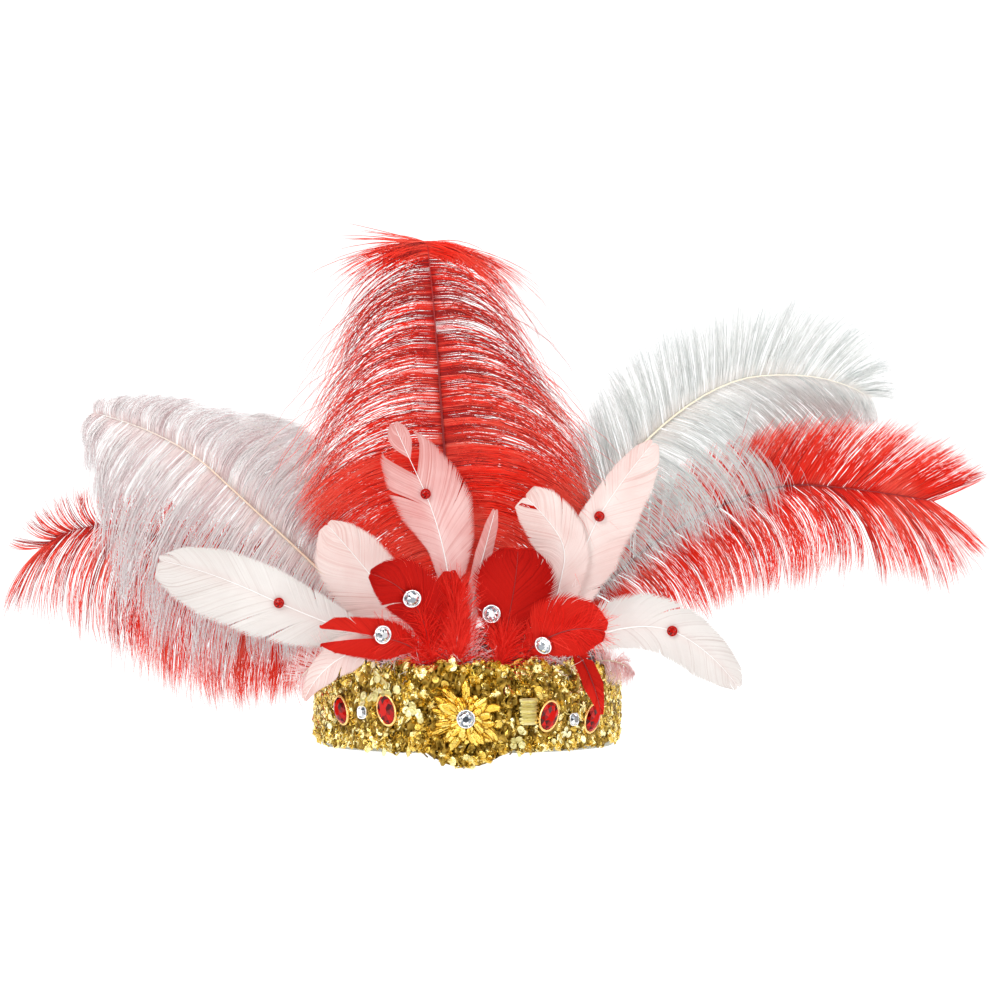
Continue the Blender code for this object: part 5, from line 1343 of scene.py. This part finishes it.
for name, lean in (("oval_left_inner", 20), ("oval_right_inner", -25),
                   ("oval_left_outer", 38), ("oval_right_outer", -36)):
    seat = stoneSeat(name + "_setting") @ Matrix.Rotation(math.radians(lean), 4, "Z")
    makeStone(name + "_set", ovalRed, [goldRim, ruby], [name, name + "_setting"], seat)
print("stones made")


# head band and felt backing
band = {"wall": 2.0, "height": 24, "round": 588, "steps": 120, "levels": 6, "sharp": 50}
backing = {"wall": 2.0, "foot": 5, "fold": 18, "top": 70, "lean": 22, "reach": 100,
           "flatWidth": 312, "flatHeight": 68, "flatArea": 0.0175, "steps": 120, "levels": 10, "sharp": 50,
           "edge": [(0, 1), (0.5, 0.97), (0.75, 0.84), (0.9, 0.60), (1, 0.32)]}


def clothMaterial(name, thread, gap, pitch, values):
    material, tree, shader = newMaterial(name, values)
    weave = placeGroup(tree, clothWeave, {"Thread": (*thread, 1), "Gap": (*gap, 1), "Pitch": pitch},
                       {"Arc": readAttribute(tree, "arc"), "Rise": readAttribute(tree, "rise")})
    tree.links.new(weave.outputs["Color"], shader.inputs["Base Color"])
    bump = addNode(tree, "ShaderNodeBump", values={"Strength": 0.5, "Distance": 0.0003})
    tree.links.new(weave.outputs["Height"], bump.inputs["Height"])
    tree.links.new(bump.outputs["Normal"], shader.inputs["Normal"])
    return material


def feltMaterial():
    material, tree, shader = newMaterial("blackFelt", {"Roughness": 0.95, "Sheen Weight": 0.35})
    place = addNode(tree, "ShaderNodeTexCoord")
    hair = addNode(tree, "ShaderNodeTexNoise", values={"Scale": 900.0, "Detail": 4.0, "Distortion": 1.5})
    tree.links.new(place.outputs["Object"], hair.inputs["Vector"])
    tuft = mapRange(tree, hair.outputs["Fac"], 0.35, 0.7)
    colour = mixColour(tree, tuft, (0.006, 0.006, 0.007, 1), (0.03, 0.03, 0.032, 1))
    tree.links.new(colour, shader.inputs["Base Color"])
    bump = addNode(tree, "ShaderNodeBump", values={"Strength": 0.6, "Distance": 0.0006})
    tree.links.new(hair.outputs["Fac"], bump.inputs["Height"])
    tree.links.new(bump.outputs["Normal"], shader.inputs["Normal"])
    return material


def markCloth(mesh):
    # arc round the head and rise up the cloth, in millimetres, for the weave
    spots = np.empty(len(mesh.vertices) * 3, np.float32)
    mesh.vertices.foreach_get("co", spots)
    spots = spots.reshape(-1, 3) / mm
    arc = np.arctan2(spots[:, 0] / head["width"], -spots[:, 1] / head["depth"]) * 89
    for key, values in (("arc", arc), ("rise", spots[:, 2])):
        layer = mesh.attributes.new(key, "FLOAT", "POINT")
        layer.data.foreach_set("value", values.astype(np.float32))


def makeBand():
    form = bmesh.new()
    bmesh.ops.create_circle(form, segments=band["steps"], radius=1)
    for index, vert in enumerate(form.verts):
        vert.co = Vector(ringPoint(index * 360 / band["steps"], head["bandSeat"], 0.0))
    for _ in range(band["levels"]):
        top = max(vert.co.z for vert in form.verts)
        edges = [edge for edge in form.edges if all(abs(vert.co.z - top) < 1e-6 for vert in edge.verts)]
        lifted = bmesh.ops.extrude_edge_only(form, edges=edges)
        moved = [item for item in lifted["geom"] if isinstance(item, bmesh.types.BMVert)]
        bmesh.ops.translate(form, verts=moved, vec=(0, 0, band["height"] * mm / band["levels"]))
    bmesh.ops.recalc_face_normals(form, faces=form.faces[:])
    bmesh.ops.solidify(form, geom=form.faces[:], thickness=-band["wall"] * mm)
    bmesh.ops.recalc_face_normals(form, faces=form.faces[:])
    mesh = bpy.data.meshes.new("head_band_cloth")
    form.to_mesh(mesh)
    form.free()
    mesh.shade_smooth()
    mesh.set_sharp_from_angle(angle=math.radians(band["sharp"]))
    markCloth(mesh)
    # the cloth's second colour is painted shade in the gaps of the weave
    mesh.materials.append(clothMaterial(
        "creamCloth", (0.80, 0.80, 0.68), (0.52, 0.52, 0.42), 1.1, {"Roughness": 0.9, "Sheen Weight": 0.2}))
    piece = finishPiece(bpy.data.objects.new("head_band_cloth", mesh), ["head_band"])


def makeBacking():
    steps, levels = backing["steps"], backing["levels"]
    form = bmesh.new()
    bmesh.ops.create_grid(form, x_segments=steps, y_segments=levels, size=1)
    form.verts.ensure_lookup_table()
    for index, vert in enumerate(form.verts):
        level, step = divmod(index, steps + 1)
        azimuth = -backing["reach"] + 2 * backing["reach"] * step / steps
        top = backing["top"] * float(columnAt(backing["edge"], abs(azimuth) / backing["reach"], 1))
        height = backing["foot"] + (top - backing["foot"]) * level / levels
        lean = math.radians(backing["lean"]) * max(0.0, math.cos(math.radians(azimuth))) ** 1.5
        inward = math.tan(lean) * max(0.0, height - backing["fold"])
        vert.co = Vector(ringPoint(azimuth, backing["wall"] - inward, height))
    bmesh.ops.recalc_face_normals(form, faces=form.faces[:])
    form.faces.ensure_lookup_table()
    if form.faces[steps * 5 + steps // 2].normal.y > 0:
        bmesh.ops.reverse_faces(form, faces=form.faces[:])
    bmesh.ops.solidify(form, geom=form.faces[:], thickness=backing["wall"] * mm)
    bmesh.ops.recalc_face_normals(form, faces=form.faces[:])
    mesh = bpy.data.meshes.new("feather_backing_felt")
    form.to_mesh(mesh)
    form.free()
    mesh.shade_smooth()
    mesh.set_sharp_from_angle(angle=math.radians(backing["sharp"]))
    mesh.materials.append(feltMaterial())
    piece = finishPiece(bpy.data.objects.new("feather_backing_felt", mesh), ["feather_backing"])


makeBand()
makeBacking()
print("band and backing made")
